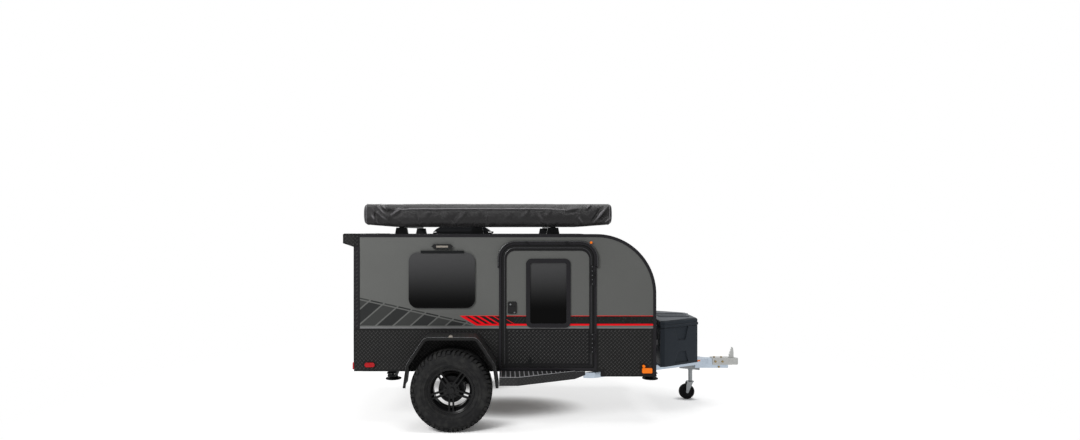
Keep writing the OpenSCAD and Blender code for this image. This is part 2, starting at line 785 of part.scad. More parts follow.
module caster_fork() color("#9a9da1") {
  translate([jx, jy, fork_z]) cylinder(h = 8, r = 40);
  translate([jx, jy, fork_z + 7]) cylinder(h = 32, r = 9.7);
  cx = jx - caster_trail;
  for (s = [-1, 1]) {
    y = jy + s * fork_y;
    side_slab(y - 3, y + 3) polygon([[jx - 38, fork_z + 6], [jx + 24, fork_z + 6], [jx + 8, fork_z - 34],
      [cx + 13, caster_r - 6], [cx - 13, caster_r - 6], [jx - 52, fork_z - 30]]);
    rod_y(cx, caster_r, y - 7, y + 7, 14);
  }
  rod_y(cx, caster_r, jy - fork_y - 3, jy + fork_y + 3, 8);
  box([jx - 38, jy - fork_y - 3, fork_z - 1], [jx + 24, jy + fork_y + 3, fork_z + 7]);
}

// half section of the caster: radius and half width of each corner
caster_half = [[8.3, 20], [40, 20], [44, 14], [60, 14], [64, 22], [caster_r - 5, 22], [caster_r, 15]];
module caster_wheel() color("#1b1b1c") translate([jx - caster_trail, jy, caster_r]) rotate([90, 0, 0])
  rotate_extrude($fn = 60) polygon(there_and_back(caster_half));

// doors: slab with a raised border, window rim, glass, latch
module door_leaf() {
  difference() {
    union() {
      side_slab(-hw - 2, -hi - 5) door_outline(leaf_in, dz0 + leaf_in);
      side_slab(-hw - proud, -hw) difference() {
        door_outline(leaf_in, dz0 + leaf_in);
        arch([dx0 + 72, dz0 + 50], [dx1 - 72, dz1 - 82], door_r - 72);
      }
    }
    side_slab(-hw - 20, -hi) rrect([dw_x0 + 24, dw_z0 + 24], [dw_x1 - 24, dw_z1 - 24], 34);
  }
  for (z = hinge_zs) translate([hinge_x, hinge_y, z]) {
    t = hinge_l / 6;
    difference() {
      union() {
        translate([0, 0, -t + play]) cylinder(h = 2 * (t - play), r = knuckle_r);
        box([-20, 4.5, -t + play], [0, 8.5, t - play]);
        box([-40, 4.5, -hinge_l / 2 + play], [-10, 8.6, hinge_l / 2 - play]);
      }
      translate([0, 0, -hinge_l / 2]) cylinder(h = hinge_l, r = bore_r);
    }
  }
}

module door_rim() {
  side_slab(-hw - 12, -hw - 2) difference() {
    rrect([dw_x0, dw_z0], [dw_x1, dw_z1], 55);
    rrect([dw_x0 + 40, dw_z0 + 40], [dw_x1 - 40, dw_z1 - 40], 24);
  }
  side_slab(-hw - 2, -hi - 5) difference() {
    rrect([dw_x0 + 24.3, dw_z0 + 24.3], [dw_x1 - 24.3, dw_z1 - 24.3], 33.7);
    rrect([dw_x0 + 31, dw_z0 + 31], [dw_x1 - 31, dw_z1 - 31], 27);
  }
}

module door_glass() side_slab(-hw - 2, -hw + 4)
  rrect([dw_x0 + 31.3, dw_z0 + 31.3], [dw_x1 - 31.3, dw_z1 - 31.3], 26.7);

module door_latch() {
  side_slab(-hw - 10, -hw - 2) rrect([latch_x - 44, latch_z - 59], [latch_x + 44, latch_z + 59], 14);
  side_slab(-hw - 26, -hw - 9) rrect([latch_x - 30, latch_z - 40], [latch_x + 30, latch_z + 10], 10);
  rod_y(latch_x, latch_z + 34, -hw - 14, -hw - 9, 12);
}

module door_leaf_right() color("#696a69") door_leaf();
module door_rim_right() color("#1f2022") door_rim();
module door_glass_right() color("#15171a", 0.6) door_glass();
module door_latch_right() color("#17181a") door_latch();
module door_leaf_left() color("#696a69") mirrored() door_leaf();
module door_rim_left() color("#1f2022") mirrored() door_rim();
module door_glass_left() color("#15171a", 0.6) mirrored() door_glass();
module door_latch_left() color("#17181a") mirrored() door_latch();

// rear hatch
module hatch_panel() color("#626363") {
  end_slab(x_rear, x_rear + wall_t) hatch_outline(h_gap);
  for (y = hatch_hinges) {
    l = hatch_hinge_l / 6 - play;
    hinge_eye_y(hh_x, hh_z, y, hatch_hinge_l) {
      union() {
        rod_y(hh_x, hh_z, y - l, y + l, knuckle_r);
        box([hh_x - 4, y - l, hh_z - 30], [hh_x + 4, y + l, hh_z]);
        box([hh_x - 4, y - l, hh_z - 60], [x_rear + 1, y + l, hh_z - 22]);
      }
    }
  }
}

module hatch_latch() color("#17181a") {
  hz = h_z0 + 150;
  end_slab(x_rear - 8, x_rear) rrect([-70, hz - 45], [70, hz + 45], 14);
  end_slab(x_rear - 24, x_rear - 7) rrect([-50, hz - 28], [50, hz + 10], 10);
}

// road wheels, drawn with the wheel's axis along Z and its outer face up
module at_wheel(s) translate([axle_x, s * wheel_y, tyre_r]) rotate([-s * 90, 0, 0]) children();

// half section of the tyre: radius, half width, and how much a groove lowers each corner of both
tyre_half = [[rim_r - 15.2, bead_z - 2, 0, 0], [rim_r + 1.5, bead_z - 0.3, 0, 0], [rim_r + 3, 104, 0, 0],
             [rim_r + 56, tw, 0, 0], [tyre_r - 38, tw - 6, 0, 2], [tyre_r - 9, tw - 19, groove, 7],
             [tyre_r, tw - 42, groove, 0]];
tyre_ring = there_and_back(tyre_half);
ring_n = len(tyre_ring);
tyre_n = 3 * lugs;

// three stations to a lug: its two edges, and the groove behind it
function lug_angle(i) = 90 + (floor(i / 3) + [0, lug_share, (1 + lug_share) / 2][i % 3]) * lug_pitch;
function lug_point(c, i) = let (g = i % 3 == 2 ? 1 : 0, r = c[0] - g * c[2], a = lug_angle(i))
  [r * cos(a), r * sin(a), c[1] - g * sign(c[1]) * c[3]];
function tyre_corner(i, j) = (i % tyre_n) * ring_n + j % ring_n;
module tyre() polyhedron(
  [for (i = [0:tyre_n - 1]) each [for (c = tyre_ring) lug_point(c, i)]],
  [for (i = [0:tyre_n - 1], j = [0:ring_n - 1]) each [
    [tyre_corner(i, j), tyre_corner(i + 1, j + 1), tyre_corner(i + 1, j)],
    [tyre_corner(i, j), tyre_corner(i, j + 1), tyre_corner(i + 1, j + 1)]]]);

// section of the rim: radius below its flange and height of each corner
rim_section = [[0, flange_z], [0, 93], [15.5, bead_z], [20, 70], [40, 40], [40, -40], [24, -70],
               [15.5, -bead_z], [0, -93], [0, -flange_z], [8, -flange_z], [24, -88], [32, -70], [49, -42],
               [49, 40], [30, 66], [24, 84], [8, flange_z]];
module rim() {
  rotate_extrude($fn = 96) polygon([for (c = rim_section) [rim_r - c[0], c[1]]]);
  translate([0, 0, 20]) cylinder(h = 46, r = hub_r);
  translate([0, 0, 60]) cylinder(h = 22, r = 33);
  for (i = [0:spokes - 1], s = [-1, 1]) rotate([0, 0, 270 + 360 * i / spokes])
    translate([0, s * spoke_apart, 46]) linear_extrude(28)
      polygon([[50, -0.6 * spoke_w], [rim_r - 26, -spoke_w / 2],
               [rim_r - 26, spoke_w / 2], [50, 0.6 * spoke_w]]);
}

module drum() difference() {
  union() {
    translate([0, 0, -75]) cylinder(h = 95, r = drum_r);
    translate([0, 0, -84]) cylinder(h = 12, r = drum_r + 6);
  }
  translate([0, 0, -85]) cylinder(h = 90, r = spindle_r + 0.4);
}

module tyre_right() color("#2b2b2b") at_wheel(-1) tyre();
module rim_right() color("#1a1b1c") at_wheel(-1) rim();
module drum_right() color("#242526") at_wheel(-1) drum();
module tyre_left() color("#2b2b2b") at_wheel(1) tyre();
module rim_left() color("#1a1b1c") at_wheel(1) rim();
module drum_left() color("#242526") at_wheel(1) drum();

side_rails();
crossmembers();
tongue_rails();
nose_tube();
coupler();
coupler_lever();
axle();
stabilisers();
floor_panel();
wall_upper_right();
wall_upper_left();
wall_lower();
roof_panel();
nose_panel();
rear_frame();
spoiler();
edge_trims();
door_frames();
side_windows();
window_visors();
porch_lights();
lenses_clear();
lamps_amber();
lamps_red();
fenders();
steps();
rack_feet();
rack_bars();
awning_bag();
vent_base();
box_shell();
jack_post();
door_leaf_right();
door_rim_right();
door_glass_right();
door_latch_right();
door_leaf_left();
door_rim_left();
door_glass_left();
door_latch_left();
hatch_panel();
hatch_latch();
box_lid();
vent_lid();
tyre_right();
rim_right();
drum_right();
tyre_left();
rim_left();
drum_left();
caster_fork();
caster_wheel();
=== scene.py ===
import json
import logging
import math
from dataclasses import dataclass
from enum import Enum
from functools import lru_cache
from typing import Any, Callable, Iterable, Mapping, Optional, Sequence, Union

import bmesh
import bpy
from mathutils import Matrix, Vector, noise


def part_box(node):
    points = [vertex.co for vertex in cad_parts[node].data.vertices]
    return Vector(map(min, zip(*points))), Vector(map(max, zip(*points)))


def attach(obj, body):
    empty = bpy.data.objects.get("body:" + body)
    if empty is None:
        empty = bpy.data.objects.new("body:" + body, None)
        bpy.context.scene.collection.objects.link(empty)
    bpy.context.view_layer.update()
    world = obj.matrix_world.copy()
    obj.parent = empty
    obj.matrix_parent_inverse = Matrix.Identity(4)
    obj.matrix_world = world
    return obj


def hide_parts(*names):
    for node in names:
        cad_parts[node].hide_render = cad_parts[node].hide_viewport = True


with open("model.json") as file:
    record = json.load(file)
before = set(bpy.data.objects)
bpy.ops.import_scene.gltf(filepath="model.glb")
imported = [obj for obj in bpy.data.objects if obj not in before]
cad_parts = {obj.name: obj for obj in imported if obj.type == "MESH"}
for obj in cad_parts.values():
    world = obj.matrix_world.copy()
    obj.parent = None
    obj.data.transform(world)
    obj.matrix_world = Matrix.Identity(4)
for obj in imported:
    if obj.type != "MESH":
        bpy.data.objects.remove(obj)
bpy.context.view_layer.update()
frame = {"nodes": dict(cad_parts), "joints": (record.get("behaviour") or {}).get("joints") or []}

LOG = logging.getLogger("trailer")

Colour = tuple[float, float, float, float]
Number = Union[float, "Wire"]
Settings = Mapping[str, Any]
Inputs = Mapping[Union[str, int], Any]
Profile = Sequence[tuple[float, float]]
Place = tuple[float, float, float]

UP = Vector((0, 0, 1))
FORWARD = Vector((1, 0, 0))
ACROSS = Vector((0, 1, 0))


class Side(Enum):
    """Side of the trailer; the value is the sign of Y."""

    RIGHT = -1
    LEFT = 1

    @property
    def word(self) -> str:
        """The side's name as the frame's nodes and bodies spell it."""
        return self.name.lower()

    @property
    def out(self) -> Vector:
        """Unit vector pointing out of that side."""
        return Vector((0, self.value, 0))


class Graphic(Enum):
    """What is painted on a grey panel."""

    WALL = "wall"
    DOOR = "door"
    ENDS = "ends"


class Head(Enum):
    """Shape of a fastener's head, by its number of sides."""

    HEX = 6
    PAN = 14


def linear(code: str) -> Colour:
    """Turns a hex colour into linear light.

    Args:
        code: Colour as "#rrggbb".

    Returns:
        Linear red, green, blue and an alpha of 1.
    """
    parts = [int(code[i : i + 2], 16) / 255 for i in (1, 3, 5)]
    red, green, blue = [p / 12.92 if p <= 0.04045 else ((p + 0.055) / 1.055) ** 2.4 for p in parts]
    return (red, green, blue, 1.0)


def scaled(colour: Colour, gain: float, lift: float = 0.0) -> Colour:
    """Lightens or darkens a linear colour.

    Args:
        colour: The colour.
        gain: Factor on each channel.
        lift: Amount added to each channel.

    Returns:
        The new colour, at most white.
    """
    red, green, blue = [min(1.0, c * gain + lift) for c in colour[:3]]
    return (red, green, blue, 1.0)


def mirrored(half: Profile) -> list[tuple[float, float]]:
    """Closes one half of an outline with its mirror image, first values negated."""
    return [*half, *((-u, v) for u, v in reversed(half))]


class Wire:
    """A shader socket that takes part in Python expressions."""

    def __init__(self, graph: "Graph", socket: bpy.types.NodeSocket) -> None:
        """Keeps the socket and the graph that owns it."""
        self.graph = graph
        self.socket = socket

    def __add__(self, other: Number) -> "Wire":
        """Sum."""
        return self.graph.math("ADD", self, other)

    def __radd__(self, other: float) -> "Wire":
        """Sum with a number on the left."""
        return self.graph.math("ADD", other, self)

    def __sub__(self, other: Number) -> "Wire":
        """Difference."""
        return self.graph.math("SUBTRACT", self, other)

    def __rsub__(self, other: float) -> "Wire":
        """Difference from a number."""
        return self.graph.math("SUBTRACT", other, self)

    def __mul__(self, other: Number) -> "Wire":
        """Product."""
        return self.graph.math("MULTIPLY", self, other)

    def __rmul__(self, other: float) -> "Wire":
        """Product with a number on the left."""
        return self.graph.math("MULTIPLY", other, self)

    def __truediv__(self, other: Number) -> "Wire":
        """Quotient."""
        return self.graph.math("DIVIDE", self, other)

    def __rtruediv__(self, other: float) -> "Wire":
        """Quotient of a number by the socket."""
        return self.graph.math("DIVIDE", other, self)

    def __gt__(self, other: Number) -> "Wire":
        """1 where the socket is larger, else 0."""
        return self.graph.math("GREATER_THAN", self, other)

    def __lt__(self, other: Number) -> "Wire":
        """1 where the socket is smaller, else 0."""
        return self.graph.math("LESS_THAN", self, other)

    def __abs__(self) -> "Wire":
        """Absolute value."""
        return self.graph.math("ABSOLUTE", self)

    def sine(self) -> "Wire":
        """Sine of the socket, in radians."""
        return self.graph.math("SINE", self)

    def fraction(self) -> "Wire":
        """Part after the point."""
        return self.graph.math("FRACT", self)

    def either(self, other: Number) -> "Wire":
        """The larger of two masks."""
        return self.graph.math("MAXIMUM", self, other)

    def between(self, low: float, high: float) -> "Wire":
        """1 where the socket lies between two numbers, else 0."""
        return (self > low) * (self < high)

    def ramp(self, low: float, high: float) -> "Wire":
        """Smooth rise from 0 at low to 1 at high.

        Args:
            low: Value at which the rise starts.
            high: Value at which it ends.

        Returns:
            The eased value.
        """
        return self.graph.node(
            "ShaderNodeMapRange",
            {"interpolation_type": "SMOOTHSTEP"},
            {"Value": self, "From Min": low, "From Max": high},
        )


class Graph:
    """One node tree, of a material or of the world."""

    def __init__(self, owner: Union[bpy.types.Material, bpy.types.World], output: str) -> None:
        """Empties the owner's tree and adds its output.

        Args:
            owner: Material or world.
            output: Type name of the output node.
        """
        owner.use_nodes = True
        self.tree = owner.node_tree
        self.tree.nodes.clear()
        self.output = self.tree.nodes.new(output)

    def feed(self, socket: bpy.types.NodeSocket, value: Any) -> None:
        """Links a wire to a socket, or sets the socket's own value.

        Args:
            socket: Input socket.
            value: A wire, a number, a vector or a colour.
        """
        if isinstance(value, Wire):
            self.tree.links.new(value.socket, socket)
        else:
            socket.default_value = value

    def node(
        self, kind: str, settings: Settings = {}, inputs: Inputs = {}, out: Union[str, int] = 0
    ) -> Wire:
        """Adds a node of any type.

        Args:
            kind: Blender's type name.
            settings: Attributes, set first.
            inputs: Values or wires by socket name or index.
            out: The output that is returned.

        Returns:
            The chosen output.
        """
        made = self.tree.nodes.new(kind)
        for key, value in settings.items():
            setattr(made, key, value)
        for key, value in inputs.items():
            self.feed(made.inputs[key], value)
        return Wire(self, made.outputs[out])

    def math(self, operation: str, *values: Number) -> Wire:
        """Adds a Math node on one or two values."""
        return self.node("ShaderNodeMath", {"operation": operation}, dict(enumerate(values)))

    def mix(self, factor: Number, first: Any, second: Any) -> Wire:
        """Mixes two colours.

        Args:
            factor: 0 gives the first colour and 1 the second.
            first: Colour or wire.
            second: Colour or wire.

        Returns:
            The mixed colour.
        """
        return self.node(
            "ShaderNodeMix", {"data_type": "RGBA"}, {0: factor, 6: first, 7: second}, out=2
        )

    def place(self) -> Wire:
        """The point's place in its piece's own frame."""
        return self.node("ShaderNodeTexCoord", out="Object")

    def axes(self) -> tuple[Wire, Wire, Wire]:
        """The point's X, Y and Z in its piece's own frame.

        Returns:
            Three wires, in metres.
        """
        split = self.node("ShaderNodeSeparateXYZ", {}, {0: self.place()}).socket.node
        x, y, z = [Wire(self, socket) for socket in split.outputs]
        return x, y, z

    def facing(self, axis: str) -> Wire:
        """The surface normal's part along one axis of the piece's own frame."""
        normal = self.node("ShaderNodeTexCoord", out="Normal")
        return self.node("ShaderNodeSeparateXYZ", {}, {0: normal}, out=axis)

    def stretched(self, scale: Sequence[float]) -> Wire:
        """The point's place, scaled apart along the three axes."""
        inputs = {0: self.place(), 1: tuple(scale)}
        return self.node("ShaderNodeVectorMath", {"operation": "MULTIPLY"}, inputs)

    def noise(self, scale: float, detail: float = 3.0, at: Optional[Wire] = None) -> Wire:
        """Noise between 0 and 1.

        Args:
            scale: Waves per metre.
            detail: Octaves.
            at: Where it is read; the piece's own place by default.

        Returns:
            The noise value.
        """
        return self.node(
            "ShaderNodeTexNoise",
            {},
            {"Vector": at or self.place(), "Scale": scale, "Detail": detail, "Roughness": 0.55},
        )

    def cells(self, scale: float) -> Wire:
        """Voronoi cells of random colours."""
        inputs = {"Vector": self.place(), "Scale": scale}
        return self.node("ShaderNodeTexVoronoi", {}, inputs, out="Color")

    def seen(self) -> Wire:
        """1 for rays from the eye, a reflection or through glass, else 0.

        Returns:
            The mask.
        """
        path = self.node("ShaderNodeLightPath").socket.node
        eye, gloss, through = [
            Wire(self, path.outputs[ray])
            for ray in ("Is Camera Ray", "Is Glossy Ray", "Is Transmission Ray")
        ]
        return eye.either(gloss).either(through)

    def edges(self, radius: float) -> Wire:
        """0 on flat parts, rising towards sharp edges.

        Args:
            radius: Width of the zone beside an edge.

        Returns:
            The mask.
        """
        soft = self.node("ShaderNodeBevel", {"samples": 4}, {"Radius": radius})
        flat = self.node("ShaderNodeNewGeometry", out="Normal")
        return 1 - self.node(
            "ShaderNodeVectorMath", {"operation": "DOT_PRODUCT"}, {0: soft, 1: flat}, out="Value"
        )

    def bump(self, height: Wire, depth: float, edge: float = 0.0) -> Wire:
        """A bumped normal.

        Args:
            height: Height field between 0 and 1.
            depth: Depth in metres of a height of 1.
            edge: Radius to which sharp edges are rounded in the shading.

        Returns:
            The normal.
        """
        inputs: dict[str, Any] = {"Height": height, "Distance": depth, "Strength": 1.0}
        if edge:
            inputs["Normal"] = self.node("ShaderNodeBevel", {"samples": 4}, {"Radius": edge})
        return self.node("ShaderNodeBump", {}, inputs)

    def end(self, shader: Wire) -> None:
        """Ends the tree in a shader."""
        self.tree.links.new(shader.socket, self.output.inputs["Surface"])

    def surface(self, inputs: Inputs) -> None:
        """Ends the tree in a Principled shader with the given values or wires."""
        self.end(self.node("ShaderNodeBsdfPrincipled", {}, inputs))


@dataclass(frozen=True)
class Finish:
    """A surface finish, built once and shared by name."""

    name: str

    def paint(self, graph: Graph) -> None:
        """Fills the material's node tree; each finish has its own way."""
        raise NotImplementedError

    @lru_cache(maxsize=None)
    def material(self) -> bpy.types.Material:
        """Returns the finish's material, made on first use.

        Returns:
            The material.
        """
        made = bpy.data.materials.new("finish_" + self.name)
        self.paint(Graph(made, "ShaderNodeOutputMaterial"))
        return made


@dataclass(frozen=True)
class Coat(Finish):
    """Powder coat, paint or moulded plastic with a fine grain, paler edges that are partly rubbed wear
    and partly a painted highlight, and, where set, painted light that pales the faces that look up.
    """

    colour: str
    rough: float = 0.5
    grain: float = 900.0
    depth: float = 0.0002
    specular: float = 0.1
    edge: float = 0.002
    coat: float = 0.0
    # worn: strength of the paler edges, partly rubbed wear and partly a painted edge highlight.
    worn: float = 0.25
    # dust: strength of the painted light that pales the faces that look up.
    dust: float = 0.0

    def paint(self, graph: Graph) -> None:
        """Mottled colour and gloss over a fine grain, paler on edges (rubbed wear and painted highlight)
        and on faces that look up (painted light).

        Args:
            graph: The material's tree.
        """
        base = linear(self.colour)
        pale = scaled(base, 1.4, 0.09)
        shade = graph.mix(graph.noise(5.0), base, scaled(base, 1.25, 0.002))
        # Paler edges: partly rubbed wear, partly a painted highlight along the edges.
        if self.worn:
            edge_wear_and_highlight = graph.edges(self.edge * 1.5).ramp(0.03, 0.3) * (0.5 + graph.noise(30.0))
            shade = graph.mix(edge_wear_and_highlight * self.worn, shade, pale)
        # Painted light: faces that look up are made paler, as if lit from above.
        if self.dust:
            shade = graph.mix(graph.facing("Z").ramp(0.3, 0.9) * self.dust, shade, pale)
        graph.surface(
            {
                "Base Color": shade,
                "Roughness": self.rough - 0.06 + 0.14 * graph.noise(14.0),
                "Specular IOR Level": self.specular,
                "Coat Weight": self.coat,
                "Coat Roughness": 0.12,
                "Normal": graph.bump(graph.noise(self.grain, 2.0), self.depth, self.edge),
            }
        )


@dataclass(frozen=True)
class PanelPaint(Finish):
    """Satin grey panel with its stripes, and a pale liner on the inner face."""

    graphic: Graphic
    belt: float
    skin: float = 0.0
    border: float = 0.0
    rear: float = 0.0
    grey: str = "#626361"
    worn: str = "#686967"
    liner: str = "#a9a9a4"
    black: str = "#141415"
    red: str = "#f60419"
    green: str = "#56695f"
    pin: str = "#787879"
    slant: float = 1.68
    bar_start: float = -0.772
    bar_pitch: float = 0.079
    bars: tuple[float, ...] = (0.047, 0.041, 0.031, 0.025, 0.014, 0.008)
    foot: float = 0.028
    green_rise: tuple[float, float] = (0.020, 0.131)
    red_rise: tuple[float, float] = (0.028, 0.1255)
    band_rise: tuple[float, float] = (0.046, 0.1205)
    pin_top: float = 0.018
    band: str = "#121312"
    curve: str = "#3a3b39"
    curves: float = 14.0
    curve_start: float = 0.6
    hatch_span: tuple[float, float] = (-0.4, -0.3)
    hatch_pitch: float = 0.034
    block: float = 0.17
    block_greys: tuple[str, str] = ("#2a2b2b", "#3b3c3b")
    crest: tuple[float, float] = (0.315, 0.225)
    crest_line: tuple[float, float] = (0.014, 0.026)
    gap: float = 0.12
    strip: float = 0.057

    def stripes(self, graph: Graph, base: Wire) -> Wire:
        """Lays the belt stripes over the panel's colour.

        Args:
            graph: The material's tree.
            base: Colour under the stripes.

        Returns:
            The striped colour.
        """
        x, _, z = graph.axes()
        rise = z - self.belt
        along = x + self.slant * (rise - self.foot)
        ahead = along > self.bar_start
        lines = graph.noise(7.0, 1.0, graph.stretched((1.0, 1.0, 2.2)))
        contour = ((lines * self.curves).fraction() < 0.09) * (along > self.bar_start + self.curve_start)
        cross = ((x - 0.75 * rise) / self.hatch_pitch).fraction() < 0.1
        contour = contour.either(cross * x.between(*self.hatch_span))
        band = graph.mix(contour, linear(self.band), linear(self.curve))
        bars = along.between(self.bar_start, self.bar_start + self.bars[0])
        for i, wide in enumerate(self.bars[1:], 1):
            start = self.bar_start + i * self.bar_pitch
            bars = bars.either(along.between(start, start + wide))
        band = graph.mix(bars, band, linear(self.red))
        base = graph.mix(rise.between(*self.green_rise) * ahead, base, linear(self.green))
        base = graph.mix(rise.between(*self.red_rise) * ahead, base, linear(self.red))
        base = graph.mix(rise.between(*self.band_rise) * ahead, base, band)
        return graph.mix(rise < self.pin_top, base, linear(self.pin))

    def blocks(self, graph: Graph, base: Wire) -> Wire:
        """Lays slanted blocks in two greys over the rear lower quarter.

        Args:
            graph: The material's tree.
            base: Colour under the blocks.

        Returns:
            The colour with the blocks.
        """
        x, _, z = graph.axes()
        rise = z - self.belt
        back = x - self.rear
        crest = self.crest[0] - self.crest[1] * back - rise
        behind = x + self.slant * (rise - self.foot) < self.bar_start - 0.02
        field = (rise > self.foot) * (crest > 0.0) * behind
        lean = (back - 1.15 * rise) / self.block
        dark, light = [linear(grey) for grey in self.block_greys]
        shade = graph.mix((lean * 0.5).fraction() < 0.5, dark, light)
        gaps = (lean.fraction() < self.gap).either(crest.between(*self.crest_line))
        return graph.mix(field * (1 - gaps), base, shade)

    def inner(self, graph: Graph, y: Wire) -> Wire:
        """1 on the faces that look into the cabin, else 0."""
        return (abs(y) < self.skin) * (graph.facing("Y") * y < -0.3)

    def paint(self, graph: Graph) -> None:
        """Grey skin with stripes outside, liner inside, black border where the panel has one.

        Args:
            graph: The material's tree.
        """
        x, y, z = graph.axes()
        base = graph.mix(graph.noise(2.2), linear(self.grey), linear(self.worn))
        if self.graphic in (Graphic.WALL, Graphic.DOOR):
            base = self.stripes(graph, base)
        if self.graphic is Graphic.WALL:
            base = graph.mix(x < self.rear + self.strip, self.blocks(graph, base), linear(self.black))
        if self.graphic in (Graphic.DOOR, Graphic.ENDS):
            base = graph.mix(z < self.belt, base, linear(self.black))
        if self.graphic in (Graphic.WALL, Graphic.DOOR):
            base = graph.mix(self.inner(graph, y), base, linear(self.liner))
        if self.graphic is Graphic.DOOR:
            base = graph.mix(abs(y) > self.border, base, linear(self.black))
        graph.surface(
            {
                "Base Color": base,
                "Roughness": 0.4 + 0.1 * graph.noise(9.0),
                "Specular IOR Level": 0.14,
                "Normal": graph.bump(graph.noise(420.0, 2.0), 0.00012, 0.002),
            }
        )


@dataclass(frozen=True)
class Metal(Finish):
    """Bare or plated metal with drawn streaks and spangle."""

    colour: str
    rough: float = 0.38
    streak: tuple[float, float, float] = (3.0, 160.0, 160.0)
    spangle: float = 0.0

    def paint(self, graph: Graph) -> None:
        """Streaked gloss, with zinc spangle where the finish has it.

        Args:
            graph: The material's tree.
        """
        lines = graph.noise(1.0, 4.0, graph.stretched(self.streak))
        base = linear(self.colour)
        dark = scaled(base, 0.68)
        shade = graph.mix(lines, dark, base)
        if self.spangle:
            flakes = graph.node("ShaderNodeSeparateColor", {}, {0: graph.cells(self.spangle)})
            shade = graph.mix(flakes * 0.5, shade, dark)
        graph.surface(
            {
                "Base Color": shade,
                "Metallic": 0.9,
                "Roughness": self.rough - 0.08 + 0.2 * lines,
                "Normal": graph.bump(lines, 0.0002, 0.002),
            }
        )


@dataclass(frozen=True)
class Glass(Finish):
    """Dark glass, darker towards its lower edge."""

    low: float
    high: float
    dark: float = 0.02
    foot: str = "#050505"
    head: str = "#4c4c4d"

    def paint(self, graph: Graph) -> None:
        """Colour that darkens towards the bottom, under a polished face.

        Args:
            graph: The material's tree.
        """
        _, _, z = graph.axes()
        fade = (z - self.low) / (self.high - self.low)
        # Colour darker towards the bottom and lighter towards the top.
        colour_by_height = graph.mix(fade.ramp(self.dark, 1.03), linear(self.foot), linear(self.head))
        graph.surface(
            {
                "Base Color": colour_by_height,
                "Roughness": 0.05 + 0.03 * graph.noise(3.0),
                "Specular IOR Level": 0.05,
                "Normal": graph.bump(graph.noise(1.5, 1.0), 0.0006),
            }
        )


@dataclass(frozen=True)
class Lens(Finish):
    """Moulded lamp lens with prism ribs."""

    colour: str
    # painted_glow: emission strength of a painted glow.
    painted_glow: float = 0.0
    ribs: float = 700.0

    def paint(self, graph: Graph) -> None:
        """Ribbed colour under a clear gloss, with a painted glow from emission though no lamp behind the
        lens is lit.

        Args:
            graph: The material's tree.
        """
        x, y, _ = graph.axes()
        wave = ((x + y) * self.ribs).sine() * 0.5 + 0.5
        base = linear(self.colour)
        graph.surface(
            {
                "Base Color": graph.mix(wave, scaled(base, 0.72), base),
                "Roughness": 0.16 + 0.1 * graph.noise(40.0),
                "Specular IOR Level": 0.15,
                "Coat Weight": 0.15,
                "Emission Color": base,
                "Emission Strength": self.painted_glow,
                "Normal": graph.bump(wave, 0.0006, 0.002),
            }
        )


@dataclass(frozen=True)
class Rubber(Finish):
    """Tyre rubber with a little dust in its grain."""

    colour: str = "#1e1e1f"
    dusty: str = "#343433"

    def paint(self, graph: Graph) -> None:
        """Matt black with dusty patches.

        Args:
            graph: The material's tree.
        """
        dust = graph.noise(18.0, 5.0).ramp(0.4, 0.75)
        graph.surface(
            {
                "Base Color": graph.mix(dust, linear(self.colour), linear(self.dusty)),
                "Roughness": 0.7 + 0.16 * dust,
                "Specular IOR Level": 0.14,
                "Normal": graph.bump(graph.noise(600.0), 0.0003, 0.0015),
            }
        )


@dataclass(frozen=True)
class Cloth(Finish):
    """Coated cloth: a fine weave, soft crease bumps, a painted highlight on the ridges of folds and
    painted shade in their hollows.
    """

    colour: str
    worn: str
    # crest: colour of the painted highlight on convex folds; crease: colour of the painted shade in
    # concave ones.
    crest: str
    crease: str
    threads: float = 1900.0
    crest_highlight_span: tuple[float, float] = (0.504, 0.57)
    crease_shade_span: tuple[float, float] = (0.43, 0.498)

    def paint(self, graph: Graph) -> None:
        """Weave and crease bump over a colour with a painted highlight on convex folds and painted shade
        in concave ones.

        Args:
            graph: The material's tree.
        """
        x, y, z = graph.axes()
        weave = (x * self.threads).sine() * ((y + z) * self.threads).sine() * 0.15
        crease = graph.noise(7.0, 2.0, graph.stretched((0.7, 1.6, 1.6)))
        wear = graph.noise(5.0, 4.0).ramp(0.4, 0.8)
        ridge = graph.node("ShaderNodeNewGeometry", out="Pointiness")
        shade = graph.mix(wear, linear(self.colour), linear(self.worn))
        # Painted highlight on convex folds, then painted shade in concave ones.
        shade = graph.mix(ridge.ramp(*self.crest_highlight_span), shade, linear(self.crest))
        shade = graph.mix(ridge.ramp(*self.crease_shade_span), linear(self.crease), shade)
        graph.surface(
            {
                "Base Color": shade,
                "Roughness": 0.27 + 0.12 * wear,
                "Specular IOR Level": 0.2,
                "Coat Weight": 0.04,
                "Coat Roughness": 0.2,
                "Normal": graph.bump(crease + weave, 0.0022),
            }
        )


@dataclass(frozen=True)
class Boards(Finish):
    """Sealed floor boards."""

    plank: float = 0.12
    seam: float = 0.03
    woods: tuple[str, str] = ("#4d4438", "#75695a")
    gap: str = "#1f1b17"

    def paint(self, graph: Graph) -> None:
        """Planks along the cabin with their seams and grain.

        Args:
            graph: The material's tree.
        """
        _, y, _ = graph.axes()
        seam = (y / self.plank).fraction() < self.seam
        grain = graph.noise(1.0, 5.0, graph.stretched((4.0, 90.0, 90.0)))
        wood = graph.mix(grain, *[linear(tone) for tone in self.woods])
        graph.surface(
            {
                "Base Color": graph.mix(seam, wood, linear(self.gap)),
                "Roughness": 0.5 + 0.2 * grain,
                "Normal": graph.bump(grain * (1 - seam), 0.0006),
            }
        )


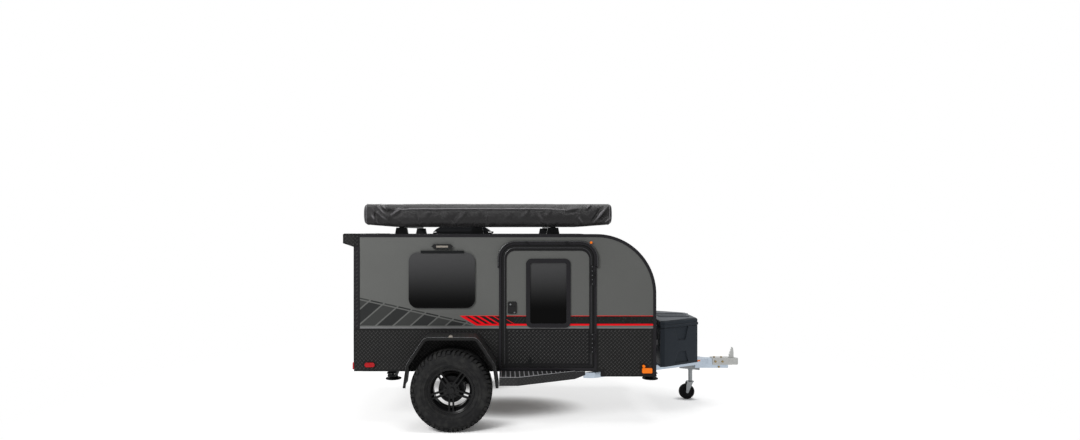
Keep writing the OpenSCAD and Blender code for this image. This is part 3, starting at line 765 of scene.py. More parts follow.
@dataclass(frozen=True)
class Paper(Finish):
    """Studio floor, seen as white but for the shadows where the object stands."""

    stands: tuple[Place, ...]
    flat: float = 0.55
    near: float = 2.6
    far: float = 5.5
    lift: float = 0.7
    shadow: float = 0.92
    tone: float = 0.91
    bright: float = 1.71

    def paint(self, graph: Graph) -> None:
        """Diffuse where the object stands, seen as white further out.

        Args:
            graph: The material's tree.
        """
        x, y, _ = graph.axes()
        away = graph.node(
            "ShaderNodeVectorMath", {"operation": "LENGTH"}, {0: graph.place()}, out="Value"
        ).ramp(self.near, self.far)
        foot: Number = 0.0
        for at_x, at_y, reach in self.stands:
            u, v = (x - at_x) / reach, (y - at_y) / (reach * self.flat)
            foot = (1 - (u * u + v * v).ramp(0.0, 1.0)).either(foot)
        seen = graph.seen()
        lift = self.lift * (1 - self.shadow * foot)
        white_share = lift + (1 - lift) * away
        plain, lit = [
            graph.node("ShaderNodeBsdfDiffuse", {}, {"Color": (tone, tone, tone, 1)})
            for tone in (self.tone, self.bright)
        ]
        paper = graph.node("ShaderNodeMixShader", {}, {0: seen, 1: plain, 2: lit})
        white = graph.node("ShaderNodeEmission", {}, {"Color": (1, 1, 1, 1), "Strength": 1.0})
        graph.end(graph.node("ShaderNodeMixShader", {}, {0: white_share * seen, 1: paper, 2: white}))


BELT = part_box("wall_lower")[1].z
HALF_WIDTH = -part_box("wall_lower")[0].y
LINER = HALF_WIDTH - 0.003
DOOR_BORDER = HALF_WIDTH + 0.005

GREY_WALL = PanelPaint("grey_wall", Graphic.WALL, BELT, LINER, rear=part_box("wall_upper_right")[0].x)
GREY_DOOR = PanelPaint("grey_door", Graphic.DOOR, BELT, LINER, DOOR_BORDER)
GREY_ENDS = PanelPaint("grey_ends", Graphic.ENDS, BELT)
ROOF_SKIN = Coat("roof_skin", "#3c3e40", 0.6, 260.0, 0.0006)
PLATE = Coat("tread_plate", "#1d1d1d", 0.5)
PLATE_LUGS = Coat("tread_plate_lugs", "#323231", 0.38, specular=0.22, worn=0.0)
# Step steel: strongly paler edges, part wear and part painted edge highlight.
STEP_STEEL = Coat("step_steel", "#29292a", 0.45, specular=0.15, worn=0.6)
SATIN = Coat("satin_black", "#262629", 0.26, specular=0.5, worn=0.0)
TRIM = Coat("black_trim", "#1d1c1f", 0.36, specular=0.14)
# Pale grey for the fender and step beads and the step ribs: a painted highlight along those edges.
PALE_HIGHLIGHT = Coat("rolled_edge", "#98989b", 0.34, specular=0.4, worn=0.0)
FRAME_COAT = Coat("frame_coat", "#141516", 0.45)
PLASTIC = Coat("black_plastic", "#121314", 0.55)
GLOSS = Coat("gloss_black", "#0d0d0e", 0.25, 500.0, 0.0001, coat=0.3)
SMOKE = Coat("smoked_dome", "#101114", 0.22, 60.0, 0.0001, coat=0.12, worn=0.0)
# Box plastic: paler edges are part wear and part painted highlight; faces that look up carry painted
# light.
BOX_PLASTIC = Coat(
    "box_plastic", "#2e343b", 0.5, 700.0, 0.0005, edge=0.006, worn=0.45, dust=0.4
)
WHEEL_BLACK = Coat("wheel_black", "#0d0d0e", 0.3, 600.0, 0.0001, specular=0.12, coat=0.15)
IRON = Coat("drum_iron", "#1c1c1d", 0.6, 300.0, 0.0004)
DULL_ALLOY = Metal("frame_alloy", "#85888b", 0.48)
BRIGHT_ALLOY = Metal("tongue_alloy", "#c3cfdc", 0.4)
ZINC = Metal("zinc", "#c0c1bf", 0.45, (60.0, 60.0, 60.0), 160.0)
GREY_POST = Metal("jack_zinc", "#9b9ea0", 0.46, (60.0, 60.0, 60.0), 160.0)
BOLT_ZINC = Metal("bolt_zinc", "#a08a5e", 0.35, (90.0, 90.0, 90.0))
SCREW_STEEL = Metal("screw_steel", "#7c7e80", 0.35, (90.0, 90.0, 90.0))
TYRE_RUBBER = Rubber("tyre_rubber")
CASTER_RUBBER = Rubber("caster_rubber", "#121213")
# The amber lenses and the rail reflectors carry a painted glow.
AMBER = Lens("amber_lens", "#ff7d08", 0.25)
RED = Lens("red_lens", "#c00d16")
CLEAR = Lens("clear_lens", "#a39c92")
# Cloth colours: base, worn tone, painted fold highlight, painted crease shade.
BAG_CLOTH = Cloth("bag_cloth", "#1f1e1f", "#2a292a", "#6c6a6d", "#0c0b0c")
FLOOR_BOARDS = Boards("floor_boards")
WINDOW_GLASS = Glass("window_glass", *[corner.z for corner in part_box("side_windows")])
DOOR_GLASS = Glass("door_glass", *[corner.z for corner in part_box("door_glass_right")], dark=0.22)

CARRIED = {
    "side_rails": DULL_ALLOY,
    "crossmembers": DULL_ALLOY,
    "tongue_rails": BRIGHT_ALLOY,
    "nose_tube": BRIGHT_ALLOY,
    "coupler": ZINC,
    "coupler_lever": ZINC,
    "axle": FRAME_COAT,
    "stabilisers": FRAME_COAT,
    "floor_panel": FLOOR_BOARDS,
    "wall_upper_right": GREY_WALL,
    "wall_upper_left": GREY_WALL,
    "wall_lower": PLATE,
    "roof_panel": ROOF_SKIN,
    "nose_panel": GREY_ENDS,
    "rear_frame": TRIM,
    "spoiler": PLATE,
    "edge_trims": TRIM,
    "door_frames": TRIM,
    "side_windows": WINDOW_GLASS,
    "window_visors": PLASTIC,
    "porch_lights": GLOSS,
    "lenses_clear": CLEAR,
    "lamps_amber": AMBER,
    "lamps_red": RED,
    "fenders": PLATE,
    "steps": STEP_STEEL,
    "rack_feet": PLASTIC,
    "rack_bars": FRAME_COAT,
    "vent_base": PLASTIC,
    "vent_lid": SMOKE,
    "box_shell": BOX_PLASTIC,
    "box_lid": BOX_PLASTIC,
    "jack_post": GREY_POST,
    "door_leaf_right": GREY_DOOR,
    "door_leaf_left": GREY_DOOR,
    "door_rim_right": TRIM,
    "door_rim_left": TRIM,
    "door_glass_right": DOOR_GLASS,
    "door_glass_left": DOOR_GLASS,
    "door_latch_right": GLOSS,
    "door_latch_left": GLOSS,
    "hatch_panel": GREY_ENDS,
    "hatch_latch": GLOSS,
    "drum_right": IRON,
    "drum_left": IRON,
    "caster_fork": GREY_POST,
    "caster_wheel": CASTER_RUBBER,
}


def placed(name: str, data: bpy.types.ID) -> bpy.types.Object:
    """Makes an object of a mesh, light or camera and links it to the scene.

    Args:
        name: Name of the object.
        data: What it shows.

    Returns:
        The new object.
    """
    made = bpy.data.objects.new(name, data)
    bpy.context.scene.collection.objects.link(made)
    return made


class Draft:
    """Collects the points and faces of one piece, in the shared frame."""

    def __init__(self) -> None:
        """Starts empty."""
        self.points: list[Vector] = []
        self.faces: list[list[int]] = []

    def add(self, points: Iterable[Vector], faces: Iterable[Sequence[int]]) -> None:
        """Adds points and the faces that join them.

        Args:
            points: New points.
            faces: Faces, counted from the first new point.
        """
        start = len(self.points)
        self.points.extend(points)
        self.faces.extend([start + i for i in face] for face in faces)

    def loft(self, rings: Sequence[Sequence[Vector]], loop: bool = False, caps: bool = True) -> None:
        """Joins rings of equal length by quads.

        Args:
            rings: Closed rings of points, in order.
            loop: Whether the last ring joins the first.
            caps: Whether the end rings are filled.
        """
        size = len(rings[0])
        faces: list[Sequence[int]] = []
        for i in range(len(rings) if loop else len(rings) - 1):
            a, b = i * size, (i + 1) % len(rings) * size
            for j in range(size):
                k = (j + 1) % size
                faces.append((a + j, a + k, b + k, b + j))
        if caps and not loop:
            faces.append(range(size))
            faces.append(range((len(rings) - 1) * size, len(rings) * size))
        self.add([p for ring in rings for p in ring], faces)

    def prism(self, outline: Sequence[Vector], shift: Vector) -> None:
        """Pulls an outline along a vector."""
        self.loft([list(outline), [p + shift for p in outline]])

    def plate(self, at: Vector, u: Vector, v: Vector, half: Profile, shift: Vector) -> None:
        """Adds a plate whose outline is mirrored about its second axis.

        Args:
            at: Origin of the outline.
            u: Unit vector of its first axis.
            v: Unit vector of its second axis.
            half: One half of the outline.
            shift: The plate's thickness and direction.
        """
        self.prism([at + u * a + v * b for a, b in mirrored(half)], shift)

    def bar(self, low: Vector, high: Vector) -> None:
        """Adds a block between two corners.

        Args:
            low: Least corner.
            high: Largest corner.
        """
        spots = ((low.x, low.y), (high.x, low.y), (high.x, high.y), (low.x, high.y))
        self.prism([Vector((x, y, low.z)) for x, y in spots], UP * (high.z - low.z))

    def tube(
        self, path: Sequence[Vector], radius: float, up: Vector, loop: bool = False, around: int = 8
    ) -> None:
        """Adds a round bar along a path.

        Args:
            path: Points of its middle line.
            radius: Its radius.
            up: A direction that the path never runs along.
            loop: Whether the path is closed.
            around: Sides of the bar.
        """
        before = [path[-1] if loop else path[0], *path[:-1]]
        after = [*path[1:], path[0] if loop else path[-1]]
        spots = [math.tau * i / around for i in range(around)]
        rings = []
        for a, at, b in zip(before, path, after):
            across = (b - a).cross(up).normalized()
            lift = across.cross(b - a).normalized()
            rings.append([at + (across * math.cos(t) + lift * math.sin(t)) * radius for t in spots])
        self.loft(rings, loop)

    def fastener(self, at: Vector, out: Vector, radius: float, height: float, head: Head) -> None:
        """Adds a screw or bolt head with a chamfered rim.

        Args:
            at: Middle of the head's seat.
            out: Direction out of the surface.
            radius: Radius over the corners.
            height: Height of the head.
            head: Shape of the head.
        """
        turn = out.to_track_quat("Z", "Y").to_matrix()
        rings = []
        for r, h in ((radius, 0.0), (radius, 0.7 * height), (0.75 * radius, height)):
            spots = [math.tau * i / head.value for i in range(head.value)]
            rings.append([at + turn @ Vector((r * math.cos(a), r * math.sin(a), h)) for a in spots])
        self.loft(rings)

    def piece(
        self, name: str, body: str, finish: Finish, slot: str, sharp: float = 35.0
    ) -> bpy.types.Object:
        """Makes the piece, dresses it and lets it ride on its body.

        Args:
            name: Name of the piece.
            body: Body of the frame that it moves with.
            finish: Its finish.
            slot: Material slot of the record; not used.
            sharp: Angle in degrees above which an edge stays sharp.

        Returns:
            The new object.
        """
        mesh = bpy.data.meshes.new(name)
        mesh.from_pydata(self.points, [], self.faces)
        shell = bmesh.new()
        shell.from_mesh(mesh)
        bmesh.ops.recalc_face_normals(shell, faces=shell.faces)
        shell.to_mesh(mesh)
        shell.free()
        mesh.shade_smooth()
        mesh.set_sharp_from_angle(angle=math.radians(sharp))
        mesh.materials.append(finish.material())
        made = placed(name, mesh)
        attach(made, body)
        LOG.info("%s: %d faces on %s", name, len(mesh.polygons), body)
        return made


@dataclass(frozen=True)
class TreadPlate:
    """Raised lozenges in two crossing directions, each pointing at its neighbours' middle."""

    half: float = 0.019
    length: float = 0.034
    width: float = 0.0098
    height: float = 0.0015
    ridge: float = 0.24
    room: float = 0.8

    def lozenge(self, draft: Draft, at: Vector, along: Vector, across: Vector, up: Vector) -> None:
        """Adds one lozenge with a ridge.

        Args:
            draft: Piece that it joins.
            at: Middle of its base.
            along: Unit vector of its length.
            across: Unit vector of its width.
            up: Unit vector out of the plate.
        """
        tip, side = along * self.length / 2, across * self.width / 2
        ridge = along * self.length * self.ridge
        top = at + up * self.height
        points = [at - tip, at - side, at + tip, at + side, top - ridge, top + ridge]
        draft.add(points, [(0, 1, 5, 4), (1, 2, 5), (2, 3, 4, 5), (3, 0, 4)])

    def spread(self, extent: float) -> list[float]:
        """Places of the rows along a length.

        Args:
            extent: The length.

        Returns:
            Distances from its start.
        """
        room = extent - self.length * self.room
        count = max(1, int(room / self.half) + 1)
        first = (extent - (count - 1) * self.half) / 2
        return [first + i * self.half for i in range(count)]

    def lean(self, draft: Draft, at: Vector, u: Vector, v: Vector, row: int) -> None:
        """Adds a lozenge that leans one way or the other by its row.

        Args:
            draft: Piece that it joins.
            at: Middle of its base.
            u: Unit vector of the plate's length.
            v: Unit vector of the plate's height.
            row: Number of its row.
        """
        along = (u - v if row % 2 else u + v).normalized()
        up = u.cross(v)
        self.lozenge(draft, at, along, up.cross(along), up)

    def cover(
        self,
        draft: Draft,
        origin: Vector,
        u: Vector,
        v: Vector,
        size: tuple[float, float],
        keep: Callable[[Vector], bool] = lambda at: True,
    ) -> None:
        """Covers a rectangle of the plane through origin.

        Args:
            draft: Piece that the lozenges join.
            origin: Corner of the rectangle.
            u: Unit vector of its length.
            v: Unit vector of its height.
            size: Length and height.
            keep: Tells from a lozenge's place whether it is made.
        """
        for i, a in enumerate(self.spread(size[0])):
            for j, b in enumerate(self.spread(size[1])):
                at = origin + u * a + v * b
                if (i + j) % 2 == 0 and keep(at):
                    self.lean(draft, at, u, v, i)

    def follow(self, draft: Draft, path: Sequence[Vector], across: Vector, width: float) -> None:
        """Covers a strip that follows a bent path.

        Args:
            draft: Piece that the lozenges join.
            path: Points along the strip's first edge.
            across: Unit vector to its other edge.
            width: Its width.
        """
        left, row = self.half, 0
        for a, b in zip(path, path[1:]):
            run = (b - a).normalized()
            while left < (b - a).length:
                for away in self.spread(width)[row % 2 :: 2]:
                    self.lean(draft, a + run * left + across * away, run, across, row)
                left += self.half
                row += 1
            left -= (b - a).length


def rounded(corners: Sequence[Vector], radii: Sequence[float], steps: int = 8) -> list[Vector]:
    """Rounds the bends of a path.

    Args:
        corners: Corners of the path.
        radii: Radius at each corner but the first and last.
        steps: Pieces of each arc.

    Returns:
        Points along the rounded path.
    """
    points = [corners[0]]
    for before, at, after, radius in zip(corners, corners[1:], corners[2:], radii):
        back, on = (before - at).normalized(), (after - at).normalized()
        half = back.angle(on) / 2
        centre = at + (back + on).normalized() * radius / math.sin(half)
        reach = radius / math.tan(half)
        first, last = at + back * reach - centre, at + on * reach - centre
        points += [centre + first.slerp(last, i / steps).normalized() * radius for i in range(steps + 1)]
    return points + [corners[-1]]


@dataclass
class Cladding:
    """Tread-plate lugs on the lower walls, doors, ends, spoiler and corner strips."""

    plate: TreadPlate
    rim: float = 0.006
    lamp_room: float = 0.014
    door_border: float = 0.05
    door_foot: float = 0.027
    door_skin: float = 0.002
    spoiler_drop: float = 0.036
    skirt: float = 0.044
    front_trim: float = 0.034
    door_laps: tuple[float, float] = (0.012, 0.008)
    amber_long: float = 0.1
    amber_rise: tuple[float, float] = (0.05, 0.086)
    knob_short: float = 0.064
    red_long: tuple[float, float] = (0.106, 0.204)
    red_rise: tuple[float, float] = (0.042, 0.086)
    hatch_margin: float = 0.02

    def clear_of(self, *places: Sequence[float]) -> Callable[[Vector], bool]:
        """Makes a test that keeps lugs away from lamps and the bare part of the skirt.

        Args:
            places: Each place's least and largest X, then its least and largest Z.

        Returns:
            A function that is true where a lug may stand.
        """
        room = self.lamp_room

        def test(at: Vector) -> bool:
            """True away from every such place."""
            return not any(
                a - room < at.x < b + room and c - room < at.z < d + room for a, b, c, d in places
            )

        return test

    def wall(self, draft: Draft, side: Side) -> None:
        """Covers both lower wall panels of one side.

        Args:
            draft: Piece that the lugs join.
            side: Side of the trailer.
        """
        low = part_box("wall_lower")[0]
        back, front = [corner.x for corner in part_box("door_frames")]
        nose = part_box("edge_trims")[1].x - self.front_trim
        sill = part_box("nose_panel")[0].z
        end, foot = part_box("lamps_amber")[1].x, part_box("lamps_amber")[0].z
        middle, top = [foot + rise for rise in self.amber_rise]
        red = [low.x + along for along in self.red_long] + [sill + rise for rise in self.red_rise]
        keep = self.clear_of(
            (end - self.amber_long, end, foot, middle),
            (end - self.amber_long, end - self.knob_short, middle, top),
            tuple(red),
            (front, front + self.skirt, low.z, sill),
        )
        spans = ((low.x, back + self.door_laps[0], sill), (front - self.door_laps[1], nose, low.z))
        for x0, x1, z0 in spans:
            origin = Vector((x0 + self.rim, side.value * HALF_WIDTH, z0 + self.rim))
            size = (x1 - x0 - 2 * self.rim, BELT - z0 - 2 * self.rim)
            self.facing(draft, side, origin, size, keep)

    def facing(
        self,
        draft: Draft,
        side: Side,
        origin: Vector,
        size: tuple[float, float],
        keep: Callable[[Vector], bool] = lambda at: True,
    ) -> None:
        """Covers a rectangle of a side face, whose lower rear corner is origin.

        Args:
            draft: Piece that the lugs join.
            side: Side of the trailer.
            origin: Lower rear corner.
            size: Length along X and height.
            keep: Tells whether a lug is made.
        """
        if side is Side.RIGHT:
            self.plate.cover(draft, origin, FORWARD, UP, size, keep)
        else:
            self.plate.cover(draft, origin + FORWARD * size[0], -FORWARD, UP, size, keep)

    def corner(self, draft: Draft, side: Side) -> None:
        """Covers the rear corner strip and the spoiler's end.

        Args:
            draft: Piece that the lugs join.
            side: Side of the trailer.
        """
        low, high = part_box("spoiler")
        face = side.value * high.y
        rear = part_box("wall_lower")[0].x
        strip = Vector((rear + self.rim, face, BELT + self.rim))
        self.facing(draft, side, strip, (high.x - rear - 2 * self.rim, low.z - BELT - 2 * self.rim))
        end = Vector((low.x + self.rim, face, low.z + self.rim))
        slope = self.spoiler_drop / (rear - low.x)

        def keep(at: Vector) -> bool:
            """Leaves out lugs below the spoiler's slanted underside."""
            return at.z - low.z > self.lamp_room + max(0.0, (rear - at.x) * slope)

        size = (high.x - low.x - 2 * self.rim, high.z - low.z - 3 * self.rim)
        self.facing(draft, side, end, size, keep)

    def ends(self, draft: Draft) -> None:
        """Covers the lower nose.

        Args:
            draft: Piece that the lugs join.
        """
        low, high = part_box("nose_panel")
        size = (2 * (high.y - self.rim), BELT - low.z - 2 * self.rim)
        start = Vector((high.x, self.rim - high.y, low.z + self.rim))
        self.plate.cover(draft, start, ACROSS, UP, size)

    def hatch(self, draft: Draft) -> None:
        """Covers the hatch's lower part.

        Args:
            draft: Piece that the lugs join.
        """
        low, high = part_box("hatch_panel")
        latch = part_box("hatch_latch")
        room, margin = self.lamp_room, self.hatch_margin
        origin = Vector((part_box("wall_lower")[0].x, high.y - margin, low.z + margin))
        size = (2 * (high.y - margin), BELT - low.z - margin - self.rim)

        def keep(at: Vector) -> bool:
            """Leaves out lugs under the latch plate."""
            beside = abs(at.y) > latch[1].y + room
            return beside or not latch[0].z - room < at.z < latch[1].z + room

        self.plate.cover(draft, origin, -ACROSS, UP, size, keep)

    def door(self, draft: Draft, side: Side) -> None:
        """Covers the lower field of a door.

        Args:
            draft: Piece that the lugs join.
            side: Side of the trailer.
        """
        low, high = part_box("door_leaf_" + side.word)
        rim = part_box("door_rim_" + side.word)[0].z
        face = side.value * (HALF_WIDTH + self.door_skin)
        origin = Vector((low.x + self.door_border, face, low.z + self.door_foot))
        size = (high.x - low.x - 2 * self.door_border, min(BELT, rim) - origin.z - self.rim)
        self.facing(draft, side, origin, size)

    def build(self) -> None:
        """Makes the lugs of the trailer, the doors and the hatch."""
        fixed = Draft()
        for side in Side:
            self.wall(fixed, side)
            self.corner(fixed, side)
            leaf = Draft()
            self.door(leaf, side)
            leaf.piece("door_lugs_" + side.word, "door_" + side.word, PLATE_LUGS, "tread_plate")
        self.ends(fixed)
        fixed.piece("plate_lugs", "trailer", PLATE_LUGS, "tread_plate")
        rear = Draft()
        self.hatch(rear)
        rear.piece("hatch_lugs", "hatch", PLATE_LUGS, "tread_plate")


@dataclass
class Fender:
    """Tread-plate lugs and the rolled edges of one fender, the edges pale grey as a painted highlight.
    """

    side: Side
    plate: TreadPlate
    knee_half: float = 0.416
    knee_top: float = 0.641
    top_half: float = 0.247
    bends: tuple[float, ...] = (0.09, 0.08, 0.08, 0.09)
    bead: float = 0.005
    hem: float = 0.0025
    flange: float = 0.026
    proud: float = 0.001
    margin: float = 0.008

    def path(self) -> list[Vector]:
        """The fender's outline from its rear foot over the top to its front foot.

        Returns:
            Points on the outline, at Y 0.
        """
        low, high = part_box("fenders")
        middle, half = (low.x + high.x) / 2, (high.x - low.x) / 2
        rear = [(-half, low.z), (-self.knee_half, self.knee_top), (-self.top_half, high.z)]
        return rounded([Vector((middle + x, 0, z)) for x, z in mirrored(rear)], self.bends)

    def edge(self, draft: Draft, path: Sequence[Vector], depth: float, radius: float) -> None:
        """Adds a bead along the outer flange.

        Args:
            draft: Piece that it joins.
            path: The fender's outline.
            depth: How far inside the outline it runs.
            radius: Radius of the bead.
        """
        reach = self.side.out * (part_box("fenders")[1].y - radius)
        line = []
        for before, at, after in zip([path[0], *path], path, [*path[1:], path[-1]]):
            up = (after - before).normalized().cross(ACROSS)
            line.append(at - up * depth + reach)
        draft.tube(line, radius, ACROSS)

    def build(self) -> None:
        """Makes the lugs and the edges."""
        path = self.path()
        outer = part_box("fenders")[1].y
        start = -outer if self.side is Side.RIGHT else HALF_WIDTH
        lugs, rolled = Draft(), Draft()
        strip = [p + ACROSS * (start + 2 * self.margin) for p in path]
        self.plate.follow(lugs, strip, ACROSS, outer - HALF_WIDTH - 3 * self.margin)
        lugs.piece("fender_lugs_" + self.side.word, "trailer", PLATE_LUGS, "tread_plate")
        self.edge(rolled, path, self.bead - self.proud, self.bead)
        self.edge(rolled, path, self.flange - self.hem, self.hem)
        # The beads are pale grey: a painted highlight along the fender's edges.
        rolled.piece("fender_edge_" + self.side.word, "trailer", PALE_HIGHLIGHT, "tread_plate")


@dataclass
class SideStep:
    """Tread-plate face, rolled upper edge and ribs between the punched holes of one step, edge and ribs
    pale grey as a painted highlight.
    """

    side: Side
    plate: TreadPlate
    straight: float = 0.174
    tall: float = 0.078
    inner: float = 0.01
    bead: float = 0.003
    margin: float = 0.004
    hole: float = 0.03
    pitch: float = 0.044
    first_hole: float = 0.024
    rib: tuple[float, float] = (0.008, 0.0015)
    reach: float = 0.1
    lap: float = 0.02

    def corners(self) -> list[Vector]:
        """The outer upper edge, from the rear to the front.

        Returns:
            Its three corners.
        """
        low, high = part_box("steps")
        reach, root = self.side.value * high.y, self.side.value * (HALF_WIDTH + self.inner)
        return [
            Vector((low.x, reach, high.z)),
            Vector((low.x + self.straight, reach, high.z)),
            Vector((high.x, root, high.z)),
        ]

    def face(self, draft: Draft) -> None:
        """Covers the two outer faces with lugs.

        Args:
            draft: Piece that the lugs join.
        """
        rear, bend, front = self.corners()
        for a, b in ((rear, bend), (bend, front)):
            if self.side is Side.LEFT:
                a, b = b, a
            run = (b - a).normalized()
            origin = a + run * self.margin - UP * (self.tall - self.margin)
            size = ((b - a).length - 2 * self.margin, self.tall - 2 * self.margin)
            self.plate.cover(draft, origin, run, UP, size)

    def ribs(self, draft: Draft) -> None:
        """Adds raised ribs across the top, between the columns of holes.

        Args:
            draft: Piece that they join.
        """
        rear, bend, front = self.corners()
        wide, high = self.rib
        root = self.side.value * (HALF_WIDTH + 1.5 * self.inner)
        bar = rear.x + self.first_hole - (self.pitch - self.hole) / 2
        while bar < front.x:
            share = max(0.0, (bar - bend.x) / (front.x - bend.x))
            edge = bend.y + (front.y - bend.y) * share - self.side.value * self.inner
            if abs(edge) > abs(root) + self.hole:
                spots = [(-wide, root), (wide, root), (wide, edge), (-wide, edge)]
                draft.prism([Vector((bar + u / 2, y, rear.z)) for u, y in spots], UP * high)
            bar += self.pitch

    def gusset(self, draft: Draft) -> None:
        """Adds the plate that carries the step's front end on to the rail.

        Args:
            draft: Piece that it joins.
        """
        front = self.corners()[2]
        low, high = -self.tall, -self.margin
        foot = [(-self.lap, low), (0.0, low), (self.reach, low / 2)]
        shape = foot + [(self.reach, high), (-self.lap, high)]
        outline = [front + FORWARD * u + UP * v for u, v in shape]
        draft.prism(outline, self.side.out * -self.bead)

    def build(self) -> None:
        """Makes the lugs, the edge, the ribs and the gusset."""
        lugs, light, plain = Draft(), Draft(), Draft()
        self.face(lugs)
        lugs.piece("step_lugs_" + self.side.word, "trailer", PLATE_LUGS, "tread_plate")
        # The edge tube and the ribs are pale grey: a painted highlight.
        light.tube([corner - self.side.out * self.bead for corner in self.corners()], self.bead, UP)
        self.ribs(light)
        light.piece("step_edges_" + self.side.word, "trailer", PALE_HIGHLIGHT, "tread_plate")
        self.gusset(plain)
        plain.piece("step_gusset_" + self.side.word, "trailer", STEP_STEEL, "tread_plate")


@dataclass
class RoofVent:
    """Collar and insect screen inside the roof vent."""

    inset: float = 0.032
    wall: float = 0.006
    rise: float = 0.013
    sink: float = 0.014
    slats: int = 11

    def build(self) -> None:
        """Makes the collar and the slats of the screen."""
        low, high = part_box("vent_base")
        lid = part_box("vent_lid")
        x0, x1 = lid[0].x + self.inset, lid[0].x + (high.x - low.x) - 2 * self.inset
        half = high.y - self.inset
        top, foot = lid[0].z, high.z - self.sink
        pitch = (x1 - x0) / (self.slats + 1)
        slats = [x0 + pitch * i for i in range(1, self.slats + 1)]
        bars = [(x0, x0 + self.wall), (x1 - self.wall, x1)] + [(x, x + self.wall / 2) for x in slats]
        draft = Draft()
        for a, b in bars:
            draft.bar(Vector((a, -half, foot)), Vector((b, half, top + self.rise / 2)))
        for y in (-half, half - self.wall):
            draft.bar(Vector((x0, y, foot)), Vector((x1, y + self.wall, top + self.rise)))
        draft.piece("vent_screen", "trailer", PLASTIC, "black_plastic")


@dataclass
class Spindle:
    """A turning axis along Y that places points by radius, angle and depth."""

    centre: Vector
    side: Side
    flare: float = 0.06

    def point(self, radius: float, angle: float, out: float) -> Vector:
        """Point at a radius, an angle and a distance outwards from the middle."""
        flat = Vector((radius * math.cos(angle), self.side.value * out, radius * math.sin(angle)))
        return self.centre + flat

    def revolve(self, draft: Draft, profile: Profile, steps: int) -> None:
        """Turns a closed profile of radius and depth all the way round.

        Args:
            draft: Piece that the ring joins.
            profile: Radius and depth of each corner.
            steps: Stations round the axis.
        """
        angles = [math.tau * i / steps for i in range(steps)]
        draft.loft([[self.point(r, a, d) for r, d in profile] for a in angles], loop=True)

    def block(
        self, draft: Draft, path: Profile, floor: Profile, start: float, width: float, skew: float
    ) -> None:
        """Adds a tread block that follows a path across the tyre.

        Args:
            draft: Piece that the block joins.
            path: Radius and depth along its top.
            floor: Radius and depth along its foot.
            start: Angle of its first edge.
            width: Angle that it covers.
            skew: Angle by which it leans per metre of depth.
        """
        rings = []
        for (r, d), (fr, fd) in zip(path, floor):
            a = start + skew * (d - path[0][1])
            top = [self.point(r, a, d), self.point(r, a + width, d)]
            ends = (a + width * (1 + self.flare), a - width * self.flare)
            rings.append(top + [self.point(fr, end, fd) for end in ends])
        draft.loft(rings)


